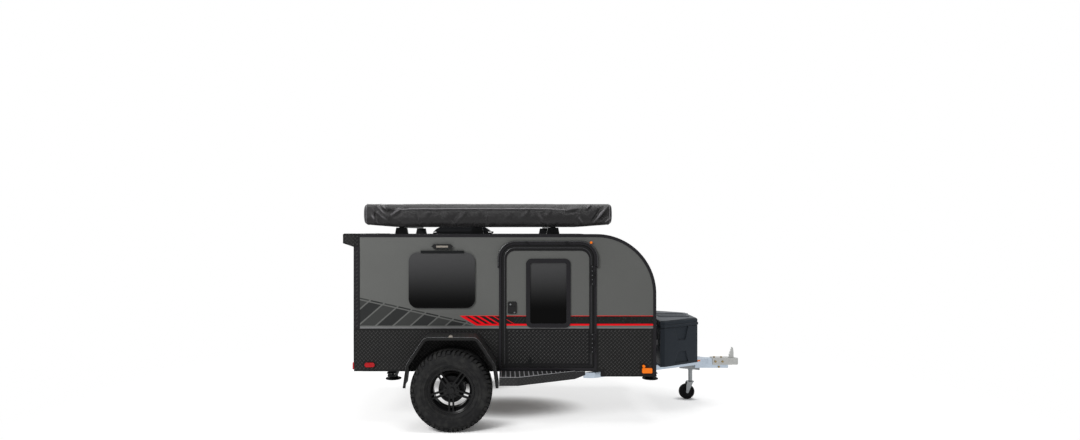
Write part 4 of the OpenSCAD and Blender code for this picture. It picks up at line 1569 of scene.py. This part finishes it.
@dataclass
class RoadWheel:
    """All-terrain tyre and five-spoke alloy rim of one side."""

    side: Side
    pitches: int = 51
    groove: float = 0.0125
    block_share: float = 0.38
    block_apart: float = 0.45
    lug_share: float = 0.62
    lug_phase: float = 0.3
    lug_skew: float = 1.5
    long_lug: float = 0.05
    short_lug: float = 0.033
    row_wide: float = 0.024
    rows: tuple[tuple[float, float, float], ...] = (
        (-0.058, 0.15, 5.0),
        (-0.028, 0.60, -4.0),
        (0.004, 0.10, 4.0),
        (0.034, 0.55, -5.0),
    )
    nuts: int = 5
    nut_circle: float = 0.057
    nut_size: tuple[float, float] = (0.0115, 0.021)
    nut_seat: float = 0.065
    spoke_pairs: int = 5
    spoke_apart: float = 0.019
    spoke_deep: float = 0.028
    spoke_bevel: float = 0.0045

    def __post_init__(self) -> None:
        """Reads the tyre's and rim's size from the frame."""
        low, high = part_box("tyre_" + self.side.word)
        self.spindle = Spindle((low + high) / 2, self.side)
        self.radius = (high.z - low.z) / 2
        self.half = (high.y - low.y) / 2
        rim_low, rim_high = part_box("rim_" + self.side.word)
        self.rim = (rim_high.z - rim_low.z) / 2

    def carcass(self) -> Profile:
        """Closed section of the tyre below its tread blocks.

        Returns:
            Radius and depth of each corner.
        """
        rim, top, half = self.rim, self.radius, self.half
        outer = [
            (rim - 0.015, 0.089),
            (rim + 0.0015, 0.091),
            (rim + 0.003, 0.104),
            (rim + 0.012, 0.1095),
            (rim + 0.024, half - 0.0085),
            (rim + 0.028, half - 0.003),
            (rim + 0.036, half - 0.003),
            (rim + 0.041, half - 0.0065),
            (rim + 0.06, half - 0.003),
            (rim + 0.062, half - 0.0005),
            (rim + 0.067, half - 0.0005),
            (rim + 0.069, half - 0.003),
            (rim + 0.085, half - 0.0032),
            (top - 0.056, half - 0.0075),
            (top - 0.046, half - 0.012),
            (top - 0.03, half - 0.021),
            (top - 0.0185, half - 0.033),
            (top - self.groove, half - 0.05),
        ]
        return outer + [(r, -d) for r, d in reversed(outer)]

    def tread(self, draft: Draft) -> None:
        """Adds staggered blocks across the crown and lugs over both shoulders.

        Args:
            draft: The tyre's draft.
        """
        top, foot, half = self.radius, self.radius - self.groove - 0.001, self.half
        step = math.tau / self.pitches
        for first, phase, skew in self.rows:
            last, middle = first + self.row_wide, first + self.row_wide / 2
            path = [(top, first), (top, middle), (top, last)]
            floor = [(foot, first - 0.001), (foot, middle), (foot, last + 0.001)]
            for i in range(2 * self.pitches):
                start = (i // 2 + phase + self.block_apart * (i % 2)) * step
                self.spindle.block(draft, path, floor, start, self.block_share * step, skew)
        for hand in (-1, 1):
            for i in range(self.pitches):
                reach = self.long_lug if i % 2 else self.short_lug
                path = [
                    (top, hand * 0.0635),
                    (top - 0.001, hand * (half - 0.04)),
                    (top - 0.008, hand * (half - 0.02)),
                    (top - 0.021, hand * (half - 0.0105)),
                    (top - reach, hand * (half - 0.0045)),
                ]
                floor = [
                    (foot, hand * 0.0625),
                    (foot, hand * (half - 0.054)),
                    (foot - 0.012, hand * (half - 0.042)),
                    (top - 0.036, hand * (half - 0.03)),
                    (top - reach - 0.005, hand * (half - 0.016)),
                ]
                start, wide = (i + self.lug_phase) * step, self.lug_share * step
                self.spindle.block(draft, path, floor, start, wide, self.lug_skew * hand)

    def spokes(self, draft: Draft) -> None:
        """Adds the spoke pairs, tapered and chamfered.

        Args:
            draft: The rim's draft.
        """
        end, bevel, deep = self.rim - 0.024, self.spoke_bevel, self.spoke_deep
        stations = [
            (0.05, 0.07, 0.0115),
            (0.11, 0.0725, 0.0095),
            (0.16, 0.074, 0.0085),
            (end, 0.074, 0.0105),
        ]
        for i in range(self.spoke_pairs):
            angle = math.radians(270 + 360 * i / self.spoke_pairs)
            along = Vector((math.cos(angle), 0, math.sin(angle)))
            across = Vector((-math.sin(angle), 0, math.cos(angle)))
            for hand in (-1, 1):
                rings = []
                for r, face, wide in stations:
                    middle = self.spindle.centre + along * r + across * hand * self.spoke_apart
                    half = [(wide, -deep), (wide, -bevel), (wide - bevel, 0.0)]
                    section = [across * u + self.side.out * (face + v) for u, v in mirrored(half)]
                    rings.append([middle + corner for corner in section])
                draft.loft(rings)

    def rim_section(self) -> Profile:
        """Closed section of the barrel and lip.

        Returns:
            Radius and depth of each corner.
        """
        drops = [
            (0.0155, 0.091),
            (0.001, 0.0925),
            (0.0, 0.095),
            (0.0, 0.0995),
            (0.003, 0.101),
            (0.008, 0.101),
            (0.0135, 0.097),
            (0.016, 0.088),
            (0.026, 0.081),
            (0.03, 0.066),
            (0.049, 0.04),
            (0.049, -0.042),
            (0.032, -0.07),
            (0.024, -0.088),
            (0.008, -0.101),
            (0.0, -0.101),
            (0.0, -0.093),
            (0.0155, -0.091),
            (0.024, -0.07),
            (0.04, -0.04),
            (0.04, 0.04),
            (0.02, 0.07),
        ]
        return [(self.rim - drop, depth) for drop, depth in drops]

    def hub(self, draft: Draft) -> None:
        """Adds the hub's disc and its cap.

        Args:
            draft: The rim's draft.
        """
        disc = [(0.004, 0.02), (0.078, 0.02), (0.082, 0.026)]
        disc += [(0.082, 0.06), (0.077, 0.066), (0.004, 0.066)]
        cap = [(0.001, 0.06), (0.033, 0.06), (0.033, 0.076)]
        cap += [(0.029, 0.081), (0.018, 0.082), (0.001, 0.082)]
        self.spindle.revolve(draft, disc, 60)
        self.spindle.revolve(draft, cap, 48)

    def build(self) -> None:
        """Makes the tyre and the rim in place of their plain solids."""
        body = "wheel_" + self.side.word
        tyre = Draft()
        self.spindle.revolve(tyre, self.carcass(), 144)
        self.tread(tyre)
        made = tyre.piece("tyre_dressed_" + self.side.word, body, TYRE_RUBBER, "tyre_rubber", 28.0)
        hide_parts("tyre_" + self.side.word)
        rim = Draft()
        self.spindle.revolve(rim, self.rim_section(), 120)
        self.hub(rim)
        self.spokes(rim)
        made = rim.piece("rim_dressed_" + self.side.word, body, WHEEL_BLACK, "wheel_black", 30.0)
        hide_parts("rim_" + self.side.word)
        nuts = Draft()
        for i in range(self.nuts):
            turn = math.radians(90 + 360 * i / self.nuts)
            seat = self.spindle.point(self.nut_circle, turn, self.nut_seat)
            nuts.fastener(seat, self.side.out, *self.nut_size, Head.HEX)
        nuts.piece("wheel_nuts_" + self.side.word, body, WHEEL_BLACK, "wheel_black")


@dataclass(frozen=True)
class Fold:
    """A crease in the bag's front, from one place on it to another.

    A place is a distance and a share of the height. The distance counts from the rear end, or from the
    front end where it is negative.
    """

    start: tuple[float, float]
    end: tuple[float, float]
    height: float
    width: float

    def rise(self, at: Vector, length: float, tall: float) -> float:
        """Height of the fold at a place on the front.

        Args:
            at: Distance from the rear end and height above the bottom.
            length: Length of the bag.
            tall: Height of the bag.

        Returns:
            Distance outwards, in metres.
        """
        a, b = [Vector((u if u > 0 else length + u, v * tall)) for u, v in (self.start, self.end)]
        run = b - a
        share = max(0.0, min(1.0, (at - a).dot(run) / run.length_squared))
        away = (at - a - run * share).length
        taper = 0.3 + 0.7 * math.sin(math.pi * share)
        return self.height * taper * math.exp(-((away / self.width) ** 2) / 1.5)


FOLDS = (
    Fold((0.138, 0.93), (0.245, 0.42), 0.027, 0.016),
    Fold((0.130, 0.66), (0.250, 0.26), 0.024, 0.018),
    Fold((0.090, 0.52), (0.150, 0.12), 0.018, 0.016),
    Fold((0.170, 1.00), (0.232, 0.74), 0.030, 0.011),
    Fold((0.262, 0.50), (0.372, 0.80), 0.027, 0.017),
    Fold((0.235, 0.70), (0.310, 0.66), -0.020, 0.018),
    Fold((0.122, 0.92), (0.128, 0.10), -0.010, 0.010),
    Fold((0.320, 0.84), (0.620, 0.80), -0.007, 0.012),
    Fold((0.440, 0.62), (0.520, 0.30), 0.006, 0.021),
    Fold((0.576, 0.40), (0.657, 0.75), 0.008, 0.023),
    Fold((0.760, 0.70), (0.810, 0.36), 0.006, 0.021),
    Fold((0.877, 0.21), (0.990, 0.66), 0.010, 0.018),
    Fold((1.060, 0.70), (1.120, 0.40), 0.006, 0.023),
    Fold((1.180, 0.62), (1.270, 0.22), 0.007, 0.025),
    Fold((1.360, 0.30), (1.420, 0.68), 0.006, 0.023),
    Fold((1.517, 0.40), (1.590, 0.78), 0.010, 0.023),
    Fold((1.672, 0.58), (1.735, 0.24), 0.009, 0.018),
    Fold((1.733, 0.44), (1.800, 0.74), 0.009, 0.018),
    Fold((-0.450, 0.72), (-0.300, 0.84), 0.027, 0.016),
    Fold((-0.440, 0.66), (-0.320, 0.74), -0.014, 0.012),
    Fold((-0.330, 0.44), (-0.270, 0.14), 0.018, 0.018),
    Fold((-0.250, 0.78), (-0.198, 1.00), 0.032, 0.011),
    Fold((-0.205, 0.12), (-0.120, 0.66), -0.017, 0.014),
    Fold((-0.178, 0.20), (-0.050, 0.84), 0.035, 0.014),
    Fold((-0.120, 0.24), (-0.030, 0.62), -0.012, 0.014),
    Fold((-0.075, 0.12), (-0.012, 0.36), 0.019, 0.011),
)


@dataclass
class AwningBag:
    """Coated cloth bag: a lofted shell that sags between its ends, with a top flap and end piping."""

    stations: int = 420
    around: int = 112
    slack: float = 0.013
    end_round: float = 0.045
    end_share: float = 0.86
    end_rings: tuple[float, ...] = (0.12, 0.35, 0.57, 0.76)
    bulges: tuple[float, float] = (0.022, 0.007)
    end_lift: float = 0.027
    swell: tuple[float, float] = (0.012, 0.006)
    lift_reach: float = 0.36
    squares: tuple[float, float] = (3.4, 2.1)
    fan_reach: float = 0.3
    ripples: tuple[float, float, float] = (0.008, 0.006, 0.0015)
    travel: float = 0.012
    hold: float = -0.25
    pressure: float = 0.8
    stiffness: float = 12
    bending: float = 0.06
    slack_share: float = -0.006
    settling: int = 20
    flap_span: tuple[float, float] = (0.29, 1.96)
    flap_reach: int = 19
    flap_thick: float = 0.003
    flap_ease: float = 0.3
    flap_sink: tuple[float, float] = (0.001, 0.003)
    hem: float = 0.008
    cord: float = 0.004
    piped: tuple[int, int] = (8, -9)

    def __post_init__(self) -> None:
        """Reads the bag's box from the frame."""
        low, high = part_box("awning_bag")
        self.low, self.high = low - FORWARD * self.swell[0], high + UP * self.swell[1]
        self.middle = (self.low + self.high) / 2
        self.half = (self.high - self.low) / 2

    def ring(self, x: float, shrink: float) -> list[Vector]:
        """One cross-section of the shell.

        Args:
            x: Station along the bag.
            shrink: Share of the full section.

        Returns:
            The ring's points, from the top round by the front.
        """
        end = min(x - self.low.x, self.high.x - x)
        inward = min(1.0, end / self.lift_reach)
        lift = self.end_lift * (1 - inward) ** 1.2
        power = 2 / (self.squares[0] + (self.squares[1] - self.squares[0]) * inward)
        points = []
        for j in range(self.around):
            a = math.tau * j / self.around
            c, s = math.cos(a), math.sin(a)
            y, z = -math.copysign(abs(s) ** power, s), math.copysign(abs(c) ** power, c)
            out = self.wrinkle(x, y, z, end) - self.slack
            wide = (self.half.y + out) * shrink
            tall = (self.half.z + min(0.25 * out, 0.0)) * shrink
            raised = self.middle.z + z * tall + lift * (1 - z) / 2
            points.append(Vector((x, self.middle.y + y * wide, raised)))
        return points

    def wrinkle(self, x: float, y: float, z: float, end: float) -> float:
        """Height of the folds at a place on the shell.

        Args:
            x: Station along the bag.
            y: Share of the half width.
            z: Share of the half height.
            end: Distance to the nearer end.

        Returns:
            Distance outwards, in metres.
        """
        fan = math.exp(-end / self.fan_reach)
        lean = 1 if x < self.middle.x else -1
        pull = noise.noise(Vector((x * 9 + lean * z * 1.3, y * 0.9 + 3, z * 1.2)))
        broad = noise.noise(Vector((x * 1.6, y * 1.2 + 7, z * 2.6)))
        small = noise.noise(Vector((x * 14 - lean * z * 1.6, y * 2 + 11, z * 2.2)))
        near, wide, fine = self.ripples
        ripple = near * fan * pull + wide * broad + fine * small
        front = max(0.0, min(1.0, -2 * y - 0.2))
        tall = self.high.z - self.low.z
        spot = Vector((x - self.low.x, (z + 1) / 2 * tall))
        return ripple + front * sum(f.rise(spot, self.high.x - self.low.x, tall) for f in FOLDS)

    def shell(self) -> bpy.types.Object:
        """Makes the closed shell as a grid of quads.

        Returns:
            The shell, not yet dressed.
        """
        rear, front = self.bulges
        rings = [self.ring(self.low.x + rear * share**2, share) for share in self.end_rings]
        first = self.low.x + rear * self.end_share**2
        last = self.high.x - front * self.end_share**2
        for i in range(self.stations):
            x = first + (last - first) * i / (self.stations - 1)
            near = min(1.0, min(x - first, last - x) / self.end_round)
            curve = math.sqrt(max(0.0, 1 - (1 - near) ** 2))
            rings.append(self.ring(x, self.end_share + (1 - self.end_share) * curve))
        rings += [self.ring(self.high.x - front * share**2, share) for share in self.end_rings[::-1]]
        draft = Draft()
        draft.loft(rings)
        mesh = bpy.data.meshes.new("bag_shell")
        mesh.from_pydata(draft.points, [], draft.faces)
        return placed("bag_shell", mesh)

    def settle(self, shell: bpy.types.Object) -> None:
        """Lets the front's cloth settle under a little pressure, within a capped travel.

        Args:
            shell: The closed shell.
        """
        rest = [v.co.copy() for v in shell.data.vertices]
        held = shell.vertex_groups.new(name="held")
        line = self.middle.y + self.hold * self.half.y
        held.add([v.index for v in shell.data.vertices if v.co.y > line], 1.0, "REPLACE")
        cloth = shell.modifiers.new("settle", "CLOTH")
        cloth.settings.vertex_group_mass = held.name
        cloth.settings.use_pressure = True
        cloth.settings.uniform_pressure_force = self.pressure
        cloth.settings.effector_weights.gravity = 0.0
        cloth.settings.tension_stiffness = self.stiffness
        cloth.settings.compression_stiffness = self.stiffness
        cloth.settings.bending_stiffness = self.bending
        cloth.settings.quality = 5
        cloth.settings.shrink_min = self.slack_share
        cloth.collision_settings.use_collision = False
        scene = bpy.context.scene
        for step in range(1, self.settling + 1):
            scene.frame_set(step)
        moved = shell.evaluated_get(bpy.context.evaluated_depsgraph_get()).to_mesh()
        settled = [v.co.copy() for v in moved.vertices]
        for vertex, start, new in zip(shell.data.vertices, rest, settled):
            shift = new - start
            vertex.co = start + shift.normalized() * min(shift.length, self.travel)
        shell.modifiers.remove(cloth)
        scene.frame_set(1)

    def grid(self, shell: bpy.types.Object) -> list[list[Vector]]:
        """The shell's points as rings.

        Args:
            shell: The settled shell.

        Returns:
            Rings of points along the bag.
        """
        points = [v.co.copy() for v in shell.data.vertices]
        return [points[i : i + self.around] for i in range(0, len(points), self.around)]

    def flap(self, draft: Draft, rings: list[list[Vector]]) -> None:
        """Adds the top flap, whose hem hangs a little over the front edge.

        Args:
            draft: The bag's draft.
            rings: The settled shell's rings.
        """
        first, last = self.flap_span
        reach, (sink, lining) = self.flap_reach, self.flap_sink
        strip = []
        for ring in rings:
            along = ring[0].x - self.low.x
            if first < along < last:
                centre = sum(ring, Vector()) / len(ring)
                ease = min(1.0, min(along - first, last - along) / self.flap_ease)
                outer, inner = [], []
                for j in range(2 - reach, reach + 3):
                    at = ring[min(j, reach) % self.around]
                    out = (at - centre).normalized()
                    hem = self.hem if reach - 2 < j <= reach else 0.0
                    thick = self.flap_thick * min(1.0, (j + reach) / reach) + hem
                    outer.append(at + out * (ease * thick - sink))
                    inner.append(at - out * lining)
                strip.append(outer + inner[::-1])
        draft.loft(strip)

    def build(self) -> None:
        """Makes the bag in place of its plain solid."""
        shell = self.shell()
        self.settle(shell)
        rings = self.grid(shell)
        bpy.data.objects.remove(shell)
        draft = Draft()
        draft.loft(rings)
        self.flap(draft, rings)
        for i in self.piped:
            draft.tube(rings[i], self.cord, FORWARD, loop=True)
        bag = draft.piece("awning_bag_cloth", "trailer", BAG_CLOTH, "bag_cloth", 70.0)
        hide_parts("awning_bag")


@dataclass
class DoorHardware:
    """Screws, lock discs, beads, hold-back, clips and catches of one door."""

    side: Side
    hinge_heights: tuple[float, float] = (0.797, 1.457)
    hinge_length: float = 0.195
    screw: tuple[float, float] = (0.0042, 0.002)
    screw_rows: int = 5
    leaf_column: float = -0.0165
    frame_column: float = 0.0165
    seat: float = 0.0045
    screw_span: float = 0.86
    latch_plate: float = 0.01
    lock: tuple[float, float] = (0.0095, 0.0055)
    lock_spots: tuple[tuple[float, float], ...] = ((0.3, 0.76), (0.74, 0.13))
    catch_at: tuple[float, float] = (0.271, 0.05)
    hook_base: Profile = ((0.016, -0.018), (0.016, 0.012), (0.006, 0.046))
    hook_nose: Profile = ((0.005, 0.012), (0.005, 0.04))
    hook_deep: tuple[float, float] = (0.0065, 0.016)
    hook_screw: tuple[float, float] = (0.006, 0.003)
    hook_drop: float = 0.006
    cap: float = 0.014
    cap_drop: float = 0.25
    corner: float = 0.157
    bead: float = 0.0055
    seal: float = 0.004
    seal_in: float = 0.054
    border: float = 0.008
    clips: tuple[float, float] = (0.281, 0.671)
    clip: tuple[float, float, float] = (0.034, 0.013, 0.006)
    receivers: tuple[float, float] = (0.63, 0.8)
    receiver: Profile = ((0.011, -0.022), (0.011, 0.012), (0.005, 0.026))
    receiver_in: float = 0.02
    receiver_deep: float = 0.016

    def screws(self, draft: Draft, column: float) -> None:
        """Adds a column of screws beside each hinge pin.

        Args:
            draft: Piece that they join.
            column: Distance of the column in front of the pin.
        """
        name = "door_" + self.side.word + "_hinge"
        axis = next(j for j in frame["joints"] if j["name"] == name)["pos_m"]
        face = self.side.value * (abs(axis[1]) - self.seat)
        for height in self.hinge_heights:
            for i in range(self.screw_rows):
                share = (i / (self.screw_rows - 1) - 0.5) * self.screw_span
                at = Vector((axis[0] + column, face, height + self.hinge_length * share))
                draft.fastener(at, self.side.out, *self.screw, Head.PAN)

    def locks(self, draft: Draft) -> None:
        """Adds the two lock discs of the latch.

        Args:
            draft: Piece that they join.
        """
        low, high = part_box("door_latch_" + self.side.word)
        plate = self.side.value * (HALF_WIDTH + self.latch_plate)
        for u, v in self.lock_spots:
            spot = Vector((low.x + u * (high.x - low.x), plate, low.z + v * (high.z - low.z)))
            draft.fastener(spot, self.side.out, *self.lock, Head.PAN)

    def holdback(self, draft: Draft) -> None:
        """Adds the hook near the door's lower edge.

        Args:
            draft: Piece that it joins.
        """
        out, (along, above) = self.side.out, self.catch_at
        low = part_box("door_leaf_" + self.side.word)[0]
        foot = Vector((low.x + along, self.side.value * HALF_WIDTH, low.z + above))
        base, nose = self.hook_deep
        draft.plate(foot, FORWARD, UP, self.hook_base, out * base)
        draft.plate(foot, FORWARD, UP, self.hook_nose, out * nose)
        draft.fastener(foot + out * base - UP * self.hook_drop, out, *self.hook_screw, Head.PAN)

    def arch(self, grow: float, foot: float) -> list[Vector]:
        """The door frame's outline over the top, grown outwards.

        Args:
            grow: How far outside the frame it runs.
            foot: Height at which it starts and ends.

        Returns:
            Points from the rear foot to the front foot, at Y 0.
        """
        low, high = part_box("door_frames")
        edge, bend = grow - self.cap, self.corner + grow
        left, right, top = low.x - edge, high.x + edge, high.z + edge
        outline = [(left, foot), (left, top), (right, top), (right, foot)]
        return rounded([Vector((x, 0, z)) for x, z in outline], (bend, bend), 14)

    def trim(self, draft: Draft, line: Sequence[Vector], face: float, radius: float) -> None:
        """Adds a bead along a line on an outer face.

        Args:
            draft: Piece that it joins.
            line: Points at Y 0.
            face: Distance of the bead's middle from the trailer's middle plane.
            radius: Radius of the bead.
        """
        draft.tube([p + self.side.out * face for p in line], radius, ACROSS)

    def cap_clips(self, draft: Draft) -> None:
        """Adds the drip cap's clips.

        Args:
            draft: Piece that they join.
        """
        low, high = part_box("door_frames")
        wide, tall, deep = self.clip
        half = [(wide / 2, 0.0), (wide / 2, tall * 0.6), (wide / 3, tall)]
        for along in self.clips:
            at = Vector((low.x + along, self.side.value * high.y, high.z - 1.6 * tall))
            draft.plate(at, FORWARD, UP, half, self.side.out * deep)

    def catches(self, draft: Draft) -> None:
        """Adds the hooks on the body's front edge that hold the open door.

        Args:
            draft: Piece that they join.
        """
        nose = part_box("edge_trims")[1].x
        for height in self.receivers:
            at = Vector((nose, self.side.value * (HALF_WIDTH - self.receiver_in), height))
            draft.plate(at, self.side.out, UP, self.receiver, FORWARD * self.receiver_deep)

    def build(self) -> None:
        """Makes the beads, the screws, the lock discs, the hold-back, the clips and the catches."""
        word, body = self.side.word, "door_" + self.side.word
        gutter, seal, keep, leaf, fixed, hook = [Draft() for _ in range(6)]
        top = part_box("door_frames")[1]
        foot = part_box("door_leaf_" + word)[0].z + self.seal_in / 2
        self.trim(gutter, self.arch(self.cap / 2, top.z - self.cap_drop), top.y - self.seal, self.bead)
        face = HALF_WIDTH + self.border - self.seal / 2
        self.trim(seal, self.arch(-self.seal_in, foot), face, self.seal)
        self.catches(keep)
        self.screws(leaf, self.leaf_column)
        self.locks(leaf)
        self.screws(fixed, self.frame_column)
        self.cap_clips(fixed)
        self.holdback(hook)
        gutter.piece("drip_bead_" + word, "trailer", SATIN, "trim_black")
        seal.piece("door_bead_" + word, body, SATIN, "trim_black")
        keep.piece("front_catches_" + word, "trailer", SATIN, "trim_black")
        leaf.piece("door_screws_" + word, body, SCREW_STEEL, "zinc")
        fixed.piece("hinge_screws_" + word, "trailer", PLASTIC, "black_plastic")
        hook.piece("door_catch_" + word, body, PLASTIC, "black_plastic")


@dataclass
class TongueHardware:
    """Bolts of the coupler and the reflectors of the rails."""

    bolts: tuple[tuple[float, float], ...] = ((1.809, 0.463), (1.886, 0.463))
    tube_bolt: tuple[float, float] = (1.848, 0.405)
    side_head: tuple[float, float] = (0.0125, 0.009)
    top_head: tuple[float, float] = (0.0125, 0.01)
    reflector_x: float = 1.616
    reflector_drop: float = 0.004
    rail_wide: float = 0.05
    reflector: tuple[float, float, float] = (0.045, 0.014, 0.003)

    def build(self) -> None:
        """Makes the bolts and the reflectors."""
        draft = Draft()
        coupler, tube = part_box("coupler")[1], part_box("nose_tube")[1]
        spots = [(x, coupler.y, z) for x, z in self.bolts]
        spots.append((self.tube_bolt[0], tube.y, self.tube_bolt[1]))
        for side in Side:
            for x, y, z in spots:
                draft.fastener(Vector((x, side.value * y, z)), side.out, *self.side_head, Head.HEX)
        for x, _ in self.bolts:
            draft.fastener(Vector((x, 0, coupler.z)), UP, *self.top_head, Head.HEX)
        draft.piece("tongue_bolts", "trailer", BOLT_ZINC, "zinc")
        self.reflectors()

    def reflectors(self) -> None:
        """Makes the amber strips on the outer faces of the rails."""
        low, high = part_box("tongue_rails")
        apex, half = high.x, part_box("nose_tube")[1].y
        slope = (high.y - half) / (apex - low.x)
        slope += self.rail_wide * math.hypot(1, slope) / (apex - low.x)
        draft = Draft()
        length, tall, thick = self.reflector
        for side in Side:
            run = Vector((-1, side.value * slope, 0)).normalized()
            out = Vector((slope, side.value, 0)).normalized()
            tip = Vector((apex, side.value * half, high.z - tall - self.reflector_drop))
            at = tip + run * (apex - self.reflector_x)
            end = at + run * length
            draft.prism([at, end, end + UP * tall, at + UP * tall], out * thick)
        draft.piece("rail_reflectors", "trailer", AMBER, "amber_lens")


@dataclass
class Studio:
    """Plain pale floor, soft light and the camera of the picture."""

    camera_at: Place = (-0.481, -6.670, 1.879)
    focal: float = 20.2
    shift: tuple[float, float] = (0.0315, 0.0111)
    ambient: float = 0.2
    floor_size: float = 60.0
    shade_at: Place = (-0.45, -0.15, 0.9)
    spread: float = 1.05
    aim: Place = (0.0, 0.0, 1.0)
    lamps: tuple[tuple[str, Place, float, float], ...] = (
        ("key", (-5.0, -6.0, 5.5), 3.0, 390.0),
        ("fill", (6.0, -4.5, 4.0), 4.0, 12.0),
        ("top", (0.0, 0.0, 7.0), 5.0, 300.0),
        ("back", (-3.0, 7.0, 4.0), 4.0, 115.0),
    )

    def world(self) -> None:
        """White to the eye and in reflections, softer as light."""
        world = bpy.data.worlds.new("studio")
        bpy.context.scene.world = world
        graph = Graph(world, "ShaderNodeOutputWorld")
        level = self.ambient + (1 - self.ambient) * graph.seen()
        graph.end(graph.node("ShaderNodeBackground", {}, {"Color": (1, 1, 1, 1), "Strength": level}))

    def floor(self) -> None:
        """Lays the floor under the wheels."""
        half = self.floor_size / 2
        mesh = bpy.data.meshes.new("studio_floor")
        corners = [(-half, -half, 0), (half, -half, 0), (half, half, 0), (-half, half, 0)]
        mesh.from_pydata(corners, [], [(0, 1, 2, 3)])
        wheels = [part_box("tyre_" + side.word) for side in Side] + [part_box("caster_wheel")]
        stands = [((a.x + b.x) / 2, (a.y + b.y) / 2, self.spread * (b.z - a.z)) for a, b in wheels]
        mesh.materials.append(Paper("studio_paper", (*stands, self.shade_at)).material())
        floor = placed("studio_floor", mesh)

    def lamp(self, name: str, at: Place, size: float, power: float) -> None:
        """Hangs a square soft light that faces the trailer.

        Args:
            name: Name of the light.
            at: Its place.
            size: Length of a side.
            power: Power in watts.
        """
        light = bpy.data.lights.new(name, "AREA")
        light.size = size
        light.energy = power
        made = placed(name, light)
        made.location = at
        made.rotation_euler = (Vector(self.aim) - Vector(at)).to_track_quat("-Z", "Y").to_euler()

    def camera(self) -> None:
        """Sets up the picture's camera."""
        lens = bpy.data.cameras.new("camera")
        lens.lens = self.focal
        lens.shift_x, lens.shift_y = self.shift
        made = placed("camera", lens)
        made.location = self.camera_at
        made.rotation_euler = (math.pi / 2, 0, 0)
        bpy.context.scene.camera = made
        bpy.context.scene.view_settings.view_transform = "Standard"

    def build(self) -> None:
        """Makes floor, world, lamps and camera."""
        self.world()
        self.floor()
        for lamp in self.lamps:
            self.lamp(*lamp)
        self.camera()


def main() -> None:
    """Builds and dresses the trailer, then the stage."""
    logging.basicConfig(level=logging.INFO)
    for node, finish in CARRIED.items():
        dressed = frame["nodes"][node]
        dressed.data.materials.clear()
        dressed.data.materials.append(finish.material())
        LOG.info("%s: %s", node, finish.name)
    plate = TreadPlate()
    Cladding(plate).build()
    for side in Side:
        Fender(side, plate).build()
        SideStep(side, plate).build()
        RoadWheel(side).build()
        DoorHardware(side).build()
    RoofVent().build()
    AwningBag().build()
    TongueHardware().build()
    Studio().build()


if __name__ == "__main__":
    main()
